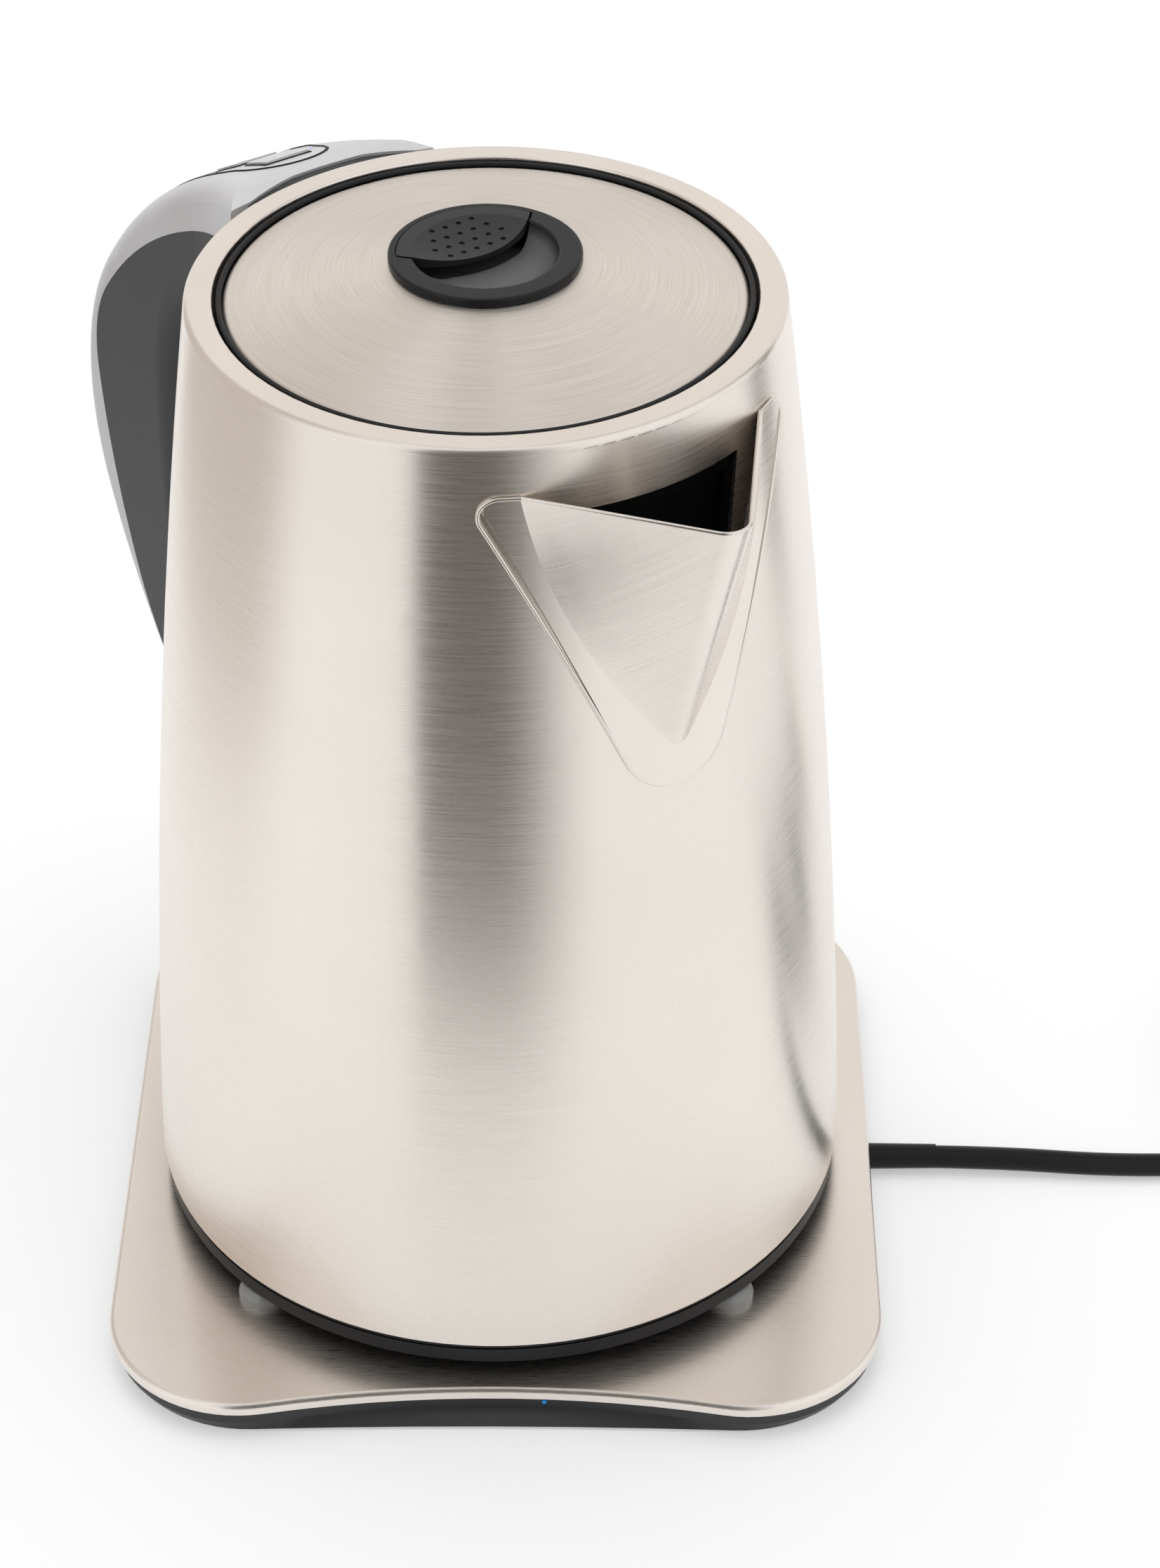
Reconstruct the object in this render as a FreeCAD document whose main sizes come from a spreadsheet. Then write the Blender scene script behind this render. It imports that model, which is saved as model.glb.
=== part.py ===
import FreeCAD, Part
import Sketcher
import math
import os

# Electric jug kettle on a flat power base, in millimetres, +Z up.
# The origin is on the kettle's axis at the table. The spout points to -Y and the handle to +Y.
# The base, with its cord, is turned about Z under the kettle by base_turn.

SIZES = {
    # Power base
    "base_turn": -34.0,
    "plate_half_width": 82.5,
    "plate_half_depth": 84.0,
    "plate_corner_radius": 29.0,
    "plate_waist_angle": 11.0,
    "plate_top": 9.0,
    "plate_sheet": 0.8,
    "plate_edge_drop": 2.5,
    "plate_edge_radius": 1.2,
    "housing_inset": 1.2,
    "housing_bottom": 0.8,
    "housing_wall": 4.0,
    "deck_sheet": 1.4,
    "ledge_top": 3.0,
    "ledge_half_width": 80.6,
    "ledge_half_depth": 82.4,
    "ledge_waist_angle": 2.2,
    "cover_sheet": 1.6,
    "foot_ring_outer": 62.0,
    "foot_ring_inner": 50.0,
    "base_screw_spread": 47.0,
    "screw_radius": 1.5,
    "screw_head_radius": 2.8,
    "screw_head_height": 1.0,
    "boss_radius": 4.0,
    "pad_spread": 50.0,
    "pad_radius": 5.2,
    "pad_edge_height": 0.8,
    "pad_crown_radius": 2.6,
    "pilot_radius": 0.7,
    "pilot_offset": 10.9,
    # Power connector
    "plate_hole_radius": 21.0,
    "hub_radius": 18.0,
    "hub_top": 20.5,
    "hub_slot_inner": 9.0,
    "hub_slot_outer": 11.2,
    "hub_slot_depth": 9.0,
    "hub_pin_hole": 2.6,
    "shutter_gap": 0.08,
    "shutter_wall": 2.4,
    "shutter_height": 3.4,
    "socket_play": 0.7,
    "socket_wall": 5.0,
    "socket_roof": 22.5,
    "socket_top": 33.0,
    "blade_sheet": 1.0,
    "blade_pin_radius": 1.9,
    "control_radius": 15.0,
    # Steel body
    "shell_bottom_radius": 75.0,
    "shell_middle_radius": 69.0,
    "shell_shoulder_radius": 58.25,
    "shell_height": 208.0,
    "shell_wall": 1.0,
    "rim_rise": 1.5,
    "rim_round": 1.5,
    "mouth_radius": 52.6,
    "lip_round": 0.6,
    "lip_depth": 10.5,
    "foot_gap": 3.5,
    "foot_height": 5.5,
    "foot_inset": 0.5,
    "foot_wall": 6.0,
    "foot_sheet": 2.0,
    "foot_spigot": 5.0,
    "floor_height": 44.0,
    "floor_sheet": 1.2,
    "floor_rim": 6.0,
    "floor_seal_sheet": 1.2,
    "diffuser_radius": 58.0,
    "diffuser_sheet": 3.4,
    "element_radius": 40.0,
    "element_width": 8.0,
    "element_height": 7.0,
    "cutout_spread": 26.0,
    "cutout_radius": 7.0,
    "cutout_height": 5.0,
    "sensor_radius": 2.8,
    "sensor_height": 18.0,
    "sensor_spread": 62.0,
    "sensor_across": 18.0,
    # Spout
    "spout_drop": 9.5,
    "spout_length": 60.0,
    "spout_reach": 85.0,
    "spout_foot_reach": 66.0,
    "spout_nose_radius": 5.0,
    "spout_top_angle": 38.2,
    "spout_foot_angle": 61.0,
    "spout_sheet": 0.9,
    "spout_root": 40.0,
    "flange_half_width": 34.0,
    "flange_length": 67.0,
    "flange_foot_radius": 12.0,
    "flange_lean": 20.0,
    "flange_corner": 4.0,
    "flange_sheet": 0.8,
    "pour_half_width": 19.3,
    "pour_foot_half_width": 11.0,
    "pour_drop": 4.0,
    "pour_length": 41.0,
    "filter_margin": 1.2,
    "filter_sheet": 2.0,
    "filter_bar": 3.0,
    "mesh_sheet": 0.5,
    # Mouth collar and hinge
    "collar_radius": 51.3,
    "collar_height": 5.8,
    "collar_sheet": 1.5,
    "hinge_reach": 54.9,
    "hinge_drop": 2.9,
    "hinge_pin_radius": 0.8,
    "hinge_eye_radius": 1.6,
    "hinge_ear_radius": 1.5,
    "hinge_arm_half": 4.0,
    "hinge_ear": 3.0,
    "hinge_notch_half": 8.5,
    # Lid
    "lid_radius": 50.7,
    "lid_edge_drop": 1.2,
    "lid_rise": 7.8,
    "lid_sheet": 0.8,
    "lid_bulge": 0.48,
    "lid_edge_round": 0.88,
    "lid_skirt": 1.7,
    "lid_hole_radius": 17.0,
    "lid_body_inset": 1.2,
    "lid_body_depth": 16.0,
    "lid_body_wall": 3.0,
    "lid_floor_sheet": 1.6,
    "seal_reach": 0.3,
    "seal_height": 3.0,
    "seal_groove": 2.0,
    "seal_lift": 2.5,
    "seal_taper": 0.5,
    "arm_rise": 8.0,
    "arm_sheet": 2.0,
    "post_across": 11.0,
    "post_along": 7.0,
    # Knob, release tab and latch
    "knob_radius": 18.7,
    "knob_height": 1.6,
    "knob_edge_round": 0.6,
    "knob_spigot": 7.9,
    "knob_floor": 3.2,
    "screw_bite": 2.4,
    "bowl_radius": 14.0,
    "bowl_depth": 4.2,
    "bowl_side_radius": 12.0,
    "bowl_side_rise": 1.0,
    "bowl_floor_radius": 7.0,
    "tab_radius": 17.0,
    "tab_seam_radius": 19.2,
    "tab_seam_offset": 0.2,
    "tab_sheet": 2.1,
    "tab_dish": 1.1,
    "tab_gap": 0.25,
    "tab_pivot_reach": 13.2,
    "tab_pivot_drop": 4.0,
    "tab_seam_gap": 0.45,
    "tab_pin_radius": 0.9,
    "tab_boss_radius": 1.6,
    "tab_boss_half": 4.5,
    "tab_ear": 2.5,
    "tab_ear_rise": 1.4,
    "tab_lever_half": 2.0,
    "tab_lever_length": 9.8,
    "tab_lever_sheet": 2.2,
    "dimple_radius": 0.55,
    "dimple_pitch": 3.0,
    "dimple_start": 3.0,
    "bolt_half_width": 5.0,
    "bolt_height": 2.4,
    "bolt_nose": 0.9,
    "bolt_slot_play": 0.6,
    "latch_travel": 1.0,
    # Handle
    "handle_half_width": 16.5,
    "handle_root_half_width": 24.0,
    "handle_flare_end": 88.0,
    "handle_flare_half_width": 18.75,
    "handle_root": 57.0,
    "handle_foot_reach": 76.0,
    "handle_drop": 183.5,
    "handle_top_lift": 0.5,
    "handle_crown_bulge": 7.6,
    "handle_cap_drop": 2.8,
    "handle_back_reach": 132.9,
    "handle_back_rise": 133.1,
    "handle_low_reach": 140.8,
    "handle_low_rise": 70.9,
    "seam_root_drop": 11.5,
    "seam_bulge": 10.8,
    "seam_back_inset": 2.2,
    "seam_back_drop": 6.5,
    "seam_swell": 1.2,
    "seam_low_inset": 14.6,
    "seam_low_drop": 15.9,
    "seam_foot_rise": 9.0,
    "gasket_inset": 0.6,
    "gap_top_reach": 24.0,
    "gap_root_drop": 20.0,
    "handle_wall": 3.0,
    "handle_cavity_half": 12.0,
    "handle_round": 4.5,
    "grip_round": 6.0,
    "gasket_sheet": 1.8,
    "gap_reach": 104.0,
    "gap_top_rise": 151.5,
    "gap_high_rise": 116.0,
    "gap_low_rise": 71.0,
    "gap_foot_reach": 16.0,
    "gap_foot_rise": 44.0,
    # Controls on the handle
    "panel_start": 69.0,
    "panel_end": 117.0,
    "panel_half_width": 11.0,
    "panel_gap": 0.5,
    "panel_waist": 1.5,
    "panel_waist_length": 9.0,
    "button_half_width": 5.0,
    "button_length": 9.0,
    "button_proud": 0.6,
    "button_play": 0.3,
    "button_flange": 1.2,
    "button_flange_sheet": 1.0,
    "button_travel": 0.8,
    "button_pitch": 15.0,
    "board_depth": 9.5,
    "board_sheet": 1.4,
    "board_half_length": 19.5,
    "switch_half": 3.0,
    "light_radius": 0.9,
    "light_offset": 7.4,
    "bracket_depth": 7.0,
    "bracket_height": 16.0,
    "wire_radius": 1.4,
    "wire_rise": 11.0,
    "screw_across": 7.0,
    "lower_screw_rise": 3.6,
    "screw_length": 9.0,
    "switch_drop": 1.1,
    "base_wire_radius": 0.8,
    "base_wire_pitch": 2.2,
    # Cord, coil and plug
    "cord_radius": 2.6,
    "cord_exit_height": 3.4,
    "relief_radius": 2.95,
    "relief_outside": 16.5,
    "clamp_length": 6.0,
    "coil_radius": 34.0,
    "coil_pitch": 5.9,
    "coil_turns_in": 2.0,
    "coil_turns_out": 1.75,
    "coil_layer": 5.8,
    "coil_centre_along": 193.0,
    "coil_centre_across": 33.0,
    "coil_tail": 35.0,
    "tie_width": 7.0,
    "tie_sheet": 0.5,
    "plug_length": 34.0,
    "plug_half_width": 12.5,
    "plug_round": 2.5,
    "plug_neck_length": 15.3,
    "plug_blade_half": 0.75,
    "plug_relief": 20.0,
    "plug_pin_length": 18.0,
    "plug_pin_spread": 6.35,
    "seat_gap": 0.1,
    "running_gap": 0.05,
}

V = FreeCAD.Vector
doc = FreeCAD.newDocument("kettle")
sheet = doc.addObject("Spreadsheet::Sheet", "Sizes")
for row, (alias, number) in enumerate(SIZES.items(), start=1):
    sheet.set("A%d" % row, alias)
    sheet.set("B%d" % row, str(number))
    sheet.setAlias("B%d" % row, alias)
doc.recompute()


class Size:
    """A number together with the sheet expression that gives it."""

    def __init__(self, value, text):
        self.value = value
        self.text = text

    def combine(self, other, sign, value):
        return Size(value, "(%s %s %s)" % (self.text, sign, other.text))

    def __add__(self, other):
        other = size(other)
        return self.combine(other, "+", self.value + other.value)

    def __sub__(self, other):
        other = size(other)
        return self.combine(other, "-", self.value - other.value)

    def __mul__(self, other):
        other = size(other)
        return self.combine(other, "*", self.value * other.value)

    def __truediv__(self, other):
        other = size(other)
        return self.combine(other, "/", self.value / other.value)

    def __radd__(self, other):
        return size(other) + self

    def __rsub__(self, other):
        return size(other) - self

    def __rmul__(self, other):
        return size(other) * self

    def __neg__(self):
        return Size(-self.value, "(-1 * %s)" % self.text)


def size(number):
    if isinstance(number, Size):
        return number
    return Size(float(number), "(%r)" % float(number))


def sine(angle):
    angle = size(angle)
    return Size(math.sin(math.radians(angle.value)), "sin(%s)" % angle.text)


def cosine(angle):
    angle = size(angle)
    return Size(math.cos(math.radians(angle.value)), "cos(%s)" % angle.text)


def square_root(number):
    number = size(number)
    return Size(math.sqrt(number.value), "sqrt(%s)" % number.text)


def tangent(angle):
    return sine(angle) / cosine(angle)


def named(alias):
    return Size(SIZES[alias], "Sizes.%s" % alias)


class Sheet:
    """The driving dimensions, each by its name."""

    def __getattr__(self, alias):
        return named(alias)


s = Sheet()
UPRIGHT = FreeCAD.Placement()
corner_share = 1 - math.sqrt(0.5)
BASE = FreeCAD.Placement(V(0, 0, 0), FreeCAD.Rotation(V(0, 0, 1), s.base_turn.value))
nodes = {}


# Drawing helpers


def plane_of(body, role):
    return next(item for item in body.Origin.OriginFeatures if item.Role == role)


def vector(point):
    return V(size(point[0]).value, size(point[1]).value, 0)


def line(point):
    return ("line", None, point)


def arc(via, point):
    return ("arc", via, point)


def flow(point):
    return ("flow", None, point)


def circle_centre(a, b, c):
    d = 2 * (a.x * (b.y - c.y) + b.x * (c.y - a.y) + c.x * (a.y - b.y))
    aa = a.x * a.x + a.y * a.y
    bb = b.x * b.x + b.y * b.y
    cc = c.x * c.x + c.y * c.y
    x = (aa * (b.y - c.y) + bb * (c.y - a.y) + cc * (a.y - b.y)) / d
    y = (aa * (c.x - b.x) + bb * (a.x - c.x) + cc * (b.x - a.x)) / d
    return V(x, y, 0)


def flow_centre(p, heading, q):
    normal = V(-heading.y, heading.x, 0).normalize()
    chord = q - p
    return p + normal * (chord.dot(chord) / (2 * normal.dot(chord)))


def put_arc(sketch, p, q, centre, left):
    """Adds an arc from p to q and gives its index with the ends that are at p and q."""
    circle = Part.Circle(centre, V(0, 0, 1), (p - centre).Length)
    first = math.atan2(p.y - centre.y, p.x - centre.x)
    last = math.atan2(q.y - centre.y, q.x - centre.x)
    if left:
        return sketch.addGeometry(Part.ArcOfCircle(circle, first, last)), 1, 2
    return sketch.addGeometry(Part.ArcOfCircle(circle, last, first)), 2, 1


def fix_point(sketch, index, end, point):
    for kind, coordinate in (("DistanceX", size(point[0])), ("DistanceY", size(point[1]))):
        rule = sketch.addConstraint(Sketcher.Constraint(kind, index, end, coordinate.value))
        sketch.setExpression("Constraints[%d]" % rule, coordinate.text)


def draw(body, role, start, steps, lift=None):
    """A closed outline on one of the body's origin planes, every corner bound to the sheet."""
    sketch = body.newObject("Sketcher::SketchObject", body.Name + "Outline")
    sketch.AttachmentSupport = [(plane_of(body, role), "")]
    sketch.MapMode = "FlatFace"
    if lift is not None:
        lift = size(lift)
        sketch.AttachmentOffset = FreeCAD.Placement(V(0, 0, lift.value), FreeCAD.Rotation())
        sketch.setExpression("AttachmentOffset.Base.z", lift.text)
    steps = list(steps)
    if steps[-1][2] is not None:
        steps.append(line(None))
    pieces = []
    p = vector(start)
    heading = None
    corner = start
    for kind, via, point in steps:
        goal = start if point is None else point
        q = vector(goal)
        if kind == "line":
            index, first, last = sketch.addGeometry(Part.LineSegment(p, q)), 1, 2
            heading = q - p
        else:
            if kind == "arc":
                centre = circle_centre(p, vector(via), q)
                left = (vector(via) - p).cross(q - p).z > 0
            else:
                centre = flow_centre(p, heading, q)
                left = heading.cross(q - p).z > 0
            index, first, last = put_arc(sketch, p, q, centre, left)
            radial = q - centre
            heading = V(-radial.y, radial.x, 0) if left else V(radial.y, -radial.x, 0)
        pieces.append((kind, via, index, first, last, corner))
        p = q
        corner = goal
    for number, (kind, via, index, first, last, corner) in enumerate(pieces):
        before = pieces[number - 1]
        rule = "Tangent" if kind == "flow" else "Coincident"
        sketch.addConstraint(Sketcher.Constraint(rule, before[2], before[4], index, first))
        fix_point(sketch, index, first, corner)
    for kind, via, index, first, last, corner in pieces:
        if kind == "arc":
            mark = sketch.addGeometry(Part.Point(vector(via)), True)
            fix_point(sketch, mark, 1, via)
            sketch.addConstraint(Sketcher.Constraint("PointOnObject", mark, 1, index))
    return sketch


# Solid helpers


def new_body(name, frame=UPRIGHT):
    body = doc.addObject("PartDesign::Body", name)
    body.Placement = frame
    return body


def turned(name, start, steps, frame=UPRIGHT):
    """A solid of revolution about Z from an outline of (radius, height) points."""
    body = new_body(name, frame)
    feature = body.newObject("PartDesign::Revolution", name + "Turn")
    feature.Profile = draw(body, "XZ_Plane", start, steps)
    feature.ReferenceAxis = (plane_of(body, "Z_Axis"), [""])
    feature.Angle = 360
    return body


def ring(name, inner, outer, low, high, frame=UPRIGHT):
    return turned(name, (inner, low), [line((outer, low)), line((outer, high)), line((inner, high))], frame)


def padded(name, role, start, steps, length, lift=None, frame=UPRIGHT, both=False, back=False):
    body = new_body(name, frame)
    feature = body.newObject("PartDesign::Pad", name + "Pad")
    feature.Profile = draw(body, role, start, steps, lift)
    feature.setExpression("Length", size(length).text)
    feature.Midplane = both
    feature.Reversed = back
    return body


def lofted(name, role, sections, frame=UPRIGHT):
    """A ruled loft through (lift, start, steps) outlines."""
    body = new_body(name, frame)
    sketches = [draw(body, role, start, steps, lift) for lift, start, steps in sections]
    feature = body.newObject("PartDesign::AdditiveLoft", name + "Loft")
    feature.Profile = sketches[0]
    feature.Sections = sketches[1:]
    feature.Ruled = True
    return body


def rounded(body, radius, wanted):
    """Rounds the edges of the body that the wanted test picks."""
    doc.recompute()
    base = body.Tip
    names = ["Edge%d" % (i + 1) for i, edge in enumerate(base.Shape.Edges) if wanted(edge)]
    feature = body.newObject("PartDesign::Fillet", body.Name + "Round")
    feature.Base = (base, names)
    feature.setExpression("Radius", size(radius).text)
    return body


def place(item, at, frame=UPRIGHT, turn=FreeCAD.Rotation()):
    at = [size(value) for value in at]
    spot = FreeCAD.Placement(V(*[value.value for value in at]), turn)
    item.Placement = frame.multiply(spot)
    if frame is UPRIGHT:
        for axis, value in zip("xyz", at):
            item.setExpression("Placement.Base.%s" % axis, value.text)
    return item


AXES = {
    "Z": FreeCAD.Rotation(),
    "X": FreeCAD.Rotation(V(0, 1, 0), 90),
    "Y": FreeCAD.Rotation(V(1, 0, 0), -90),
}


def cylinder(name, radius, height, at, axis="Z", frame=UPRIGHT):
    item = doc.addObject("Part::Cylinder", name)
    item.setExpression("Radius", size(radius).text)
    item.setExpression("Height", size(height).text)
    return place(item, at, frame, AXES[axis])


def box(name, low, high, frame=UPRIGHT):
    item = doc.addObject("Part::Box", name)
    for side, a, b in zip(("Length", "Width", "Height"), low, high):
        item.setExpression(side, (size(b) - size(a)).text)
    return place(item, low, frame)


def cut(name, base, *tools):
    for number, tool in enumerate(tools):
        item = doc.addObject("Part::Cut", "%sCut%d" % (name, number))
        item.Base = base
        item.Tool = tool
        base = item
    return base


def joined(name, *items):
    item = doc.addObject("Part::MultiFuse", name + "Joined")
    item.Shapes = list(items)
    return item


def common(name, first, second):
    item = doc.addObject("Part::Common", name + "Common")
    item.Base = first
    item.Tool = second
    return item


def group(name, items):
    item = doc.addObject("Part::Compound", name + "Group")
    item.Links = list(items)
    return item


def screws_of(name, heads, shanks):
    """One group of screws, each a head joined to its shank."""
    pairs = enumerate(zip(heads, shanks))
    return group(name, [joined("%s%d" % (name, number), head, shank) for number, (head, shank) in pairs])


def shaped(name, shape, frame=UPRIGHT):
    item = doc.addObject("Part::Feature", name + "Shape")
    item.Shape = shape
    item.Placement = frame
    return item


def node(label, item):
    item.Label = label
    nodes[label] = item
    return item


# Heights that several pieces share

foot_bottom = s.plate_top + s.foot_gap
shell_bottom = foot_bottom + s.foot_height
shoulder = shell_bottom + s.shell_height
rim_top = shoulder + s.rim_rise
lip_bottom = rim_top - s.lip_depth
floor_top = shell_bottom + s.floor_height
floor_under = floor_top - s.floor_sheet
middle = shell_bottom + s.shell_height / 2
spout_top = rim_top - s.spout_drop
handle_end = rim_top - s.handle_drop
deck_top = s.plate_top - s.plate_sheet
deck_under = deck_top - s.deck_sheet
cover_top = s.housing_bottom + s.cover_sheet


def wall_outline(grow):
    """The steel wall's outer line, moved outward by grow, from its foot to its shoulder."""
    foot = (s.shell_bottom_radius + grow, shell_bottom)
    via = (s.shell_middle_radius + grow, middle)
    return foot, arc(via, (s.shell_shoulder_radius + grow, shoulder))


def wall_core(name, grow, top):
    """Everything inside the steel wall moved outward by grow, from the foot up to top."""
    foot, wall = wall_outline(grow)
    return turned(name, (0, shell_bottom), [
        line(foot),
        wall,
        line((s.shell_shoulder_radius + grow, top)),
        line((0, top)),
    ])


def wall_radius(height):
    """Outer radius of the steel wall at a height, for placing pieces on it."""
    foot, via, top = (vector(p) for p in (
        (s.shell_bottom_radius, shell_bottom),
        (s.shell_middle_radius, middle),
        (s.shell_shoulder_radius, shoulder),
    ))
    centre = circle_centre(foot, via, top)
    radius = (foot - centre).Length
    side = math.copysign(1, via.x - centre.x)
    return centre.x + side * math.sqrt(radius ** 2 - (height - centre.y) ** 2)


# Power base: steel plate, housing, bottom cover and what stands on the table


def base_outline(half_x, half_y, corner, waist):
    """Square with round corners and hollowed front and back sides."""
    cx = half_x - corner
    cy = half_y - corner
    vx = cx + corner * cosine(45 + waist / 2)
    vy = cy + corner * sine(45 + waist / 2)
    ex = cx - corner * sine(waist)
    ey = cy + corner * cosine(waist)
    hollow = ey - ex * (1 - cosine(waist)) / sine(waist)
    return (half_x, -cy), [
        arc((vx, -vy), (ex, -ey)),
        arc((0, -hollow), (-ex, -ey)),
        arc((-vx, -vy), (-half_x, -cy)),
        line((-half_x, cy)),
        arc((-vx, vy), (-ex, ey)),
        arc((0, hollow), (ex, ey)),
        arc((vx, vy), (half_x, cy)),
    ]


def plate_outline(inset):
    return base_outline(s.plate_half_width - inset, s.plate_half_depth - inset,
                        s.plate_corner_radius - inset, s.plate_waist_angle)


def ledge_outline(inset):
    return base_outline(s.ledge_half_width - inset, s.ledge_half_depth - inset,
                        s.plate_corner_radius - inset, s.ledge_waist_angle)


def base_slab(name, inset, low, high):
    start, steps = plate_outline(inset)
    return padded(name, "XY_Plane", start, steps, high - low, lift=low, frame=BASE)


plate_low = s.plate_top - s.plate_edge_drop
plate_blank = base_slab("plate_blank", size(0), plate_low, s.plate_top)
rounded(plate_blank, s.plate_edge_radius,
        lambda edge: edge.BoundBox.ZMin > s.plate_top.value - 0.001)
plate_inside = base_slab("plate_inside", s.plate_sheet, plate_low, deck_top)
plate_hole = cylinder("plate_hole", s.plate_hole_radius, s.plate_top, (0, 0, 0))
node("base_plate", cut("base_plate", plate_blank, plate_inside, plate_hole))

housing_top = base_slab("housing_top", s.housing_inset, s.ledge_top, deck_top - s.seat_gap)
housing_ledge = lofted("housing_ledge", "XY_Plane", [
    (s.ledge_top,) + plate_outline(s.housing_inset),
    (s.housing_bottom,) + ledge_outline(size(0)),
], frame=BASE)
cavity_inset = s.housing_inset + s.housing_wall
housing_cavity = base_slab("housing_cavity", cavity_inset, s.housing_bottom, deck_under)
deck_hole = cylinder("deck_hole", s.hub_radius + s.seat_gap, s.plate_top, (0, 0, 0))
exit_hole = cylinder("exit_hole", s.relief_radius + s.seat_gap, s.plate_half_width,
                     (s.plate_half_width / 2, 0, s.cord_exit_height), "X", BASE)
pilot_spot = (s.pilot_offset, -s.plate_half_depth, plate_low - s.pilot_radius - s.seat_gap)
pilot_hole = cylinder("pilot_hole", s.pilot_radius + s.seat_gap, s.plate_half_depth, pilot_spot, "Y", BASE)
housing = cut("housing", joined("housing", housing_top, housing_ledge), housing_cavity, deck_hole, exit_hole,
              pilot_hole)

corners = [(1, 1), (-1, 1), (-1, -1), (1, -1)]


def at_corners(name, radius, low, high):
    """One upright cylinder near each corner of the base."""
    items = []
    for number, (i, j) in enumerate(corners):
        spot = (i * s.base_screw_spread, j * s.base_screw_spread, low)
        items.append(cylinder("%s%d" % (name, number), radius, high - low, spot, frame=BASE))
    return items


bosses = at_corners("base_boss", s.boss_radius, cover_top, deck_under)
screw_holes = at_corners("base_tap", s.screw_radius, cover_top, deck_under)
boss_group = cut("base_bosses", group("base_bosses", bosses), group("base_taps", screw_holes))
node("base_housing", joined("base_housing", housing, boss_group))

cover_blank = base_slab("cover_blank", cavity_inset + s.seat_gap, s.housing_bottom, cover_top)
head_top = s.housing_bottom + s.screw_head_height
head_wells = at_corners("head_well", s.screw_head_radius + s.seat_gap, s.housing_bottom, head_top)
shank_holes = at_corners("shank_hole", s.screw_radius + s.seat_gap, s.housing_bottom, cover_top)
node("base_bottom_cover", cut("base_bottom_cover", cover_blank, group("head_wells", head_wells),
                              group("shank_holes", shank_holes)))
shank_top = deck_under - s.seat_gap
head_low = s.housing_bottom + s.seat_gap
base_heads = at_corners("base_head", s.screw_head_radius, head_low, head_top)
base_shanks = at_corners("base_shank", s.screw_radius - s.running_gap, head_low, shank_top)
node("base_screws", screws_of("base_screws", base_heads, base_shanks))
node("foot_ring", ring("foot_ring", s.foot_ring_inner, s.foot_ring_outer, size(0), s.housing_bottom))

pad_top = s.plate_top + s.foot_gap - s.seat_gap
pad_turn = s.pad_radius - corner_share * (s.pad_radius - s.pad_crown_radius)
pad_turn_height = pad_top - corner_share * (s.foot_gap - s.seat_gap - s.pad_edge_height)
pads = []
for number, (i, j) in enumerate(corners):
    spot = FreeCAD.Placement(V(i * s.pad_spread.value, j * s.pad_spread.value, 0), FreeCAD.Rotation())
    pads.append(turned("glide_pad%d" % number, (0, s.plate_top), [
        line((s.pad_radius, s.plate_top)),
        line((s.pad_radius, s.plate_top + s.pad_edge_height)),
        arc((pad_turn, pad_turn_height), (s.pad_crown_radius, pad_top)),
        line((0, pad_top)),
    ], BASE.multiply(spot)))
node("glide_pads", group("glide_pads", pads))

pilot_blank = cylinder("pilot_blank", s.pilot_radius, s.plate_half_depth / 4, pilot_spot, "Y", BASE)
pilot_limit = base_slab("pilot_limit", s.housing_inset, size(0), s.plate_top)
node("pilot_light", common("pilot_light", pilot_blank, pilot_limit))

# Power connector in the base, with the collar that turns with the kettle

hub_slot_floor = s.hub_top - s.hub_slot_depth
node("connector_base", turned("connector_base", (s.hub_pin_hole, cover_top), [
    line((s.hub_radius, cover_top)),
    line((s.hub_radius, s.hub_top)),
    line((s.hub_slot_outer, s.hub_top)),
    line((s.hub_slot_outer, hub_slot_floor)),
    line((s.hub_slot_inner, hub_slot_floor)),
    line((s.hub_slot_inner, s.hub_top)),
    line((s.hub_pin_hole, s.hub_top)),
]))
contact_height = s.hub_slot_depth / 4
contact_ring = ring("contact_ring", s.hub_slot_inner + s.seat_gap, s.hub_slot_outer - s.seat_gap,
                    hub_slot_floor, hub_slot_floor + contact_height)
contact_cup = cylinder("contact_cup", s.hub_pin_hole - s.seat_gap, s.hub_slot_depth / 2, (0, 0, cover_top))
node("connector_contacts", group("connector_contacts", [contact_ring, contact_cup]))
shutter_inner = s.hub_radius + s.shutter_gap
node("connector_shutter", ring("connector_shutter", shutter_inner, shutter_inner + s.shutter_wall,
                               deck_top + s.seat_gap, deck_top + s.shutter_height))

# Steel body

foot, wall = wall_outline(size(0))
lip_outer = s.mouth_radius + s.shell_wall
inner_shoulder = s.shell_shoulder_radius - s.shell_wall
shell_blank = turned("shell_blank", foot, [
    wall,
    flow((s.shell_shoulder_radius - s.rim_round, rim_top)),
    line((s.mouth_radius + s.lip_round, rim_top)),
    arc((s.mouth_radius + corner_share * s.lip_round, rim_top - corner_share * s.lip_round),
        (s.mouth_radius, rim_top - s.lip_round)),
    line((s.mouth_radius, lip_bottom)),
    line((lip_outer, lip_bottom)),
    line((lip_outer, rim_top - s.shell_wall)),
    line((s.shell_shoulder_radius - s.rim_round, rim_top - s.shell_wall)),
    flow((inner_shoulder, shoulder)),
    arc((s.shell_middle_radius - s.shell_wall, middle), (s.shell_bottom_radius - s.shell_wall, shell_bottom)),
])
pour_top = spout_top - s.pour_drop
pour_foot = pour_top - s.pour_length


def pour_prism(name, grow, near, far):
    """The pouring opening's outline, grown all round, as a prism between two depths in front of the axis."""
    return padded(name, "XZ_Plane", (-s.pour_half_width - grow, pour_top + grow), [
        line((s.pour_half_width + grow, pour_top + grow)),
        line((s.pour_foot_half_width + grow, pour_foot - grow)),
        line((-s.pour_foot_half_width - grow, pour_foot - grow)),
    ], far - near, lift=near)


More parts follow.
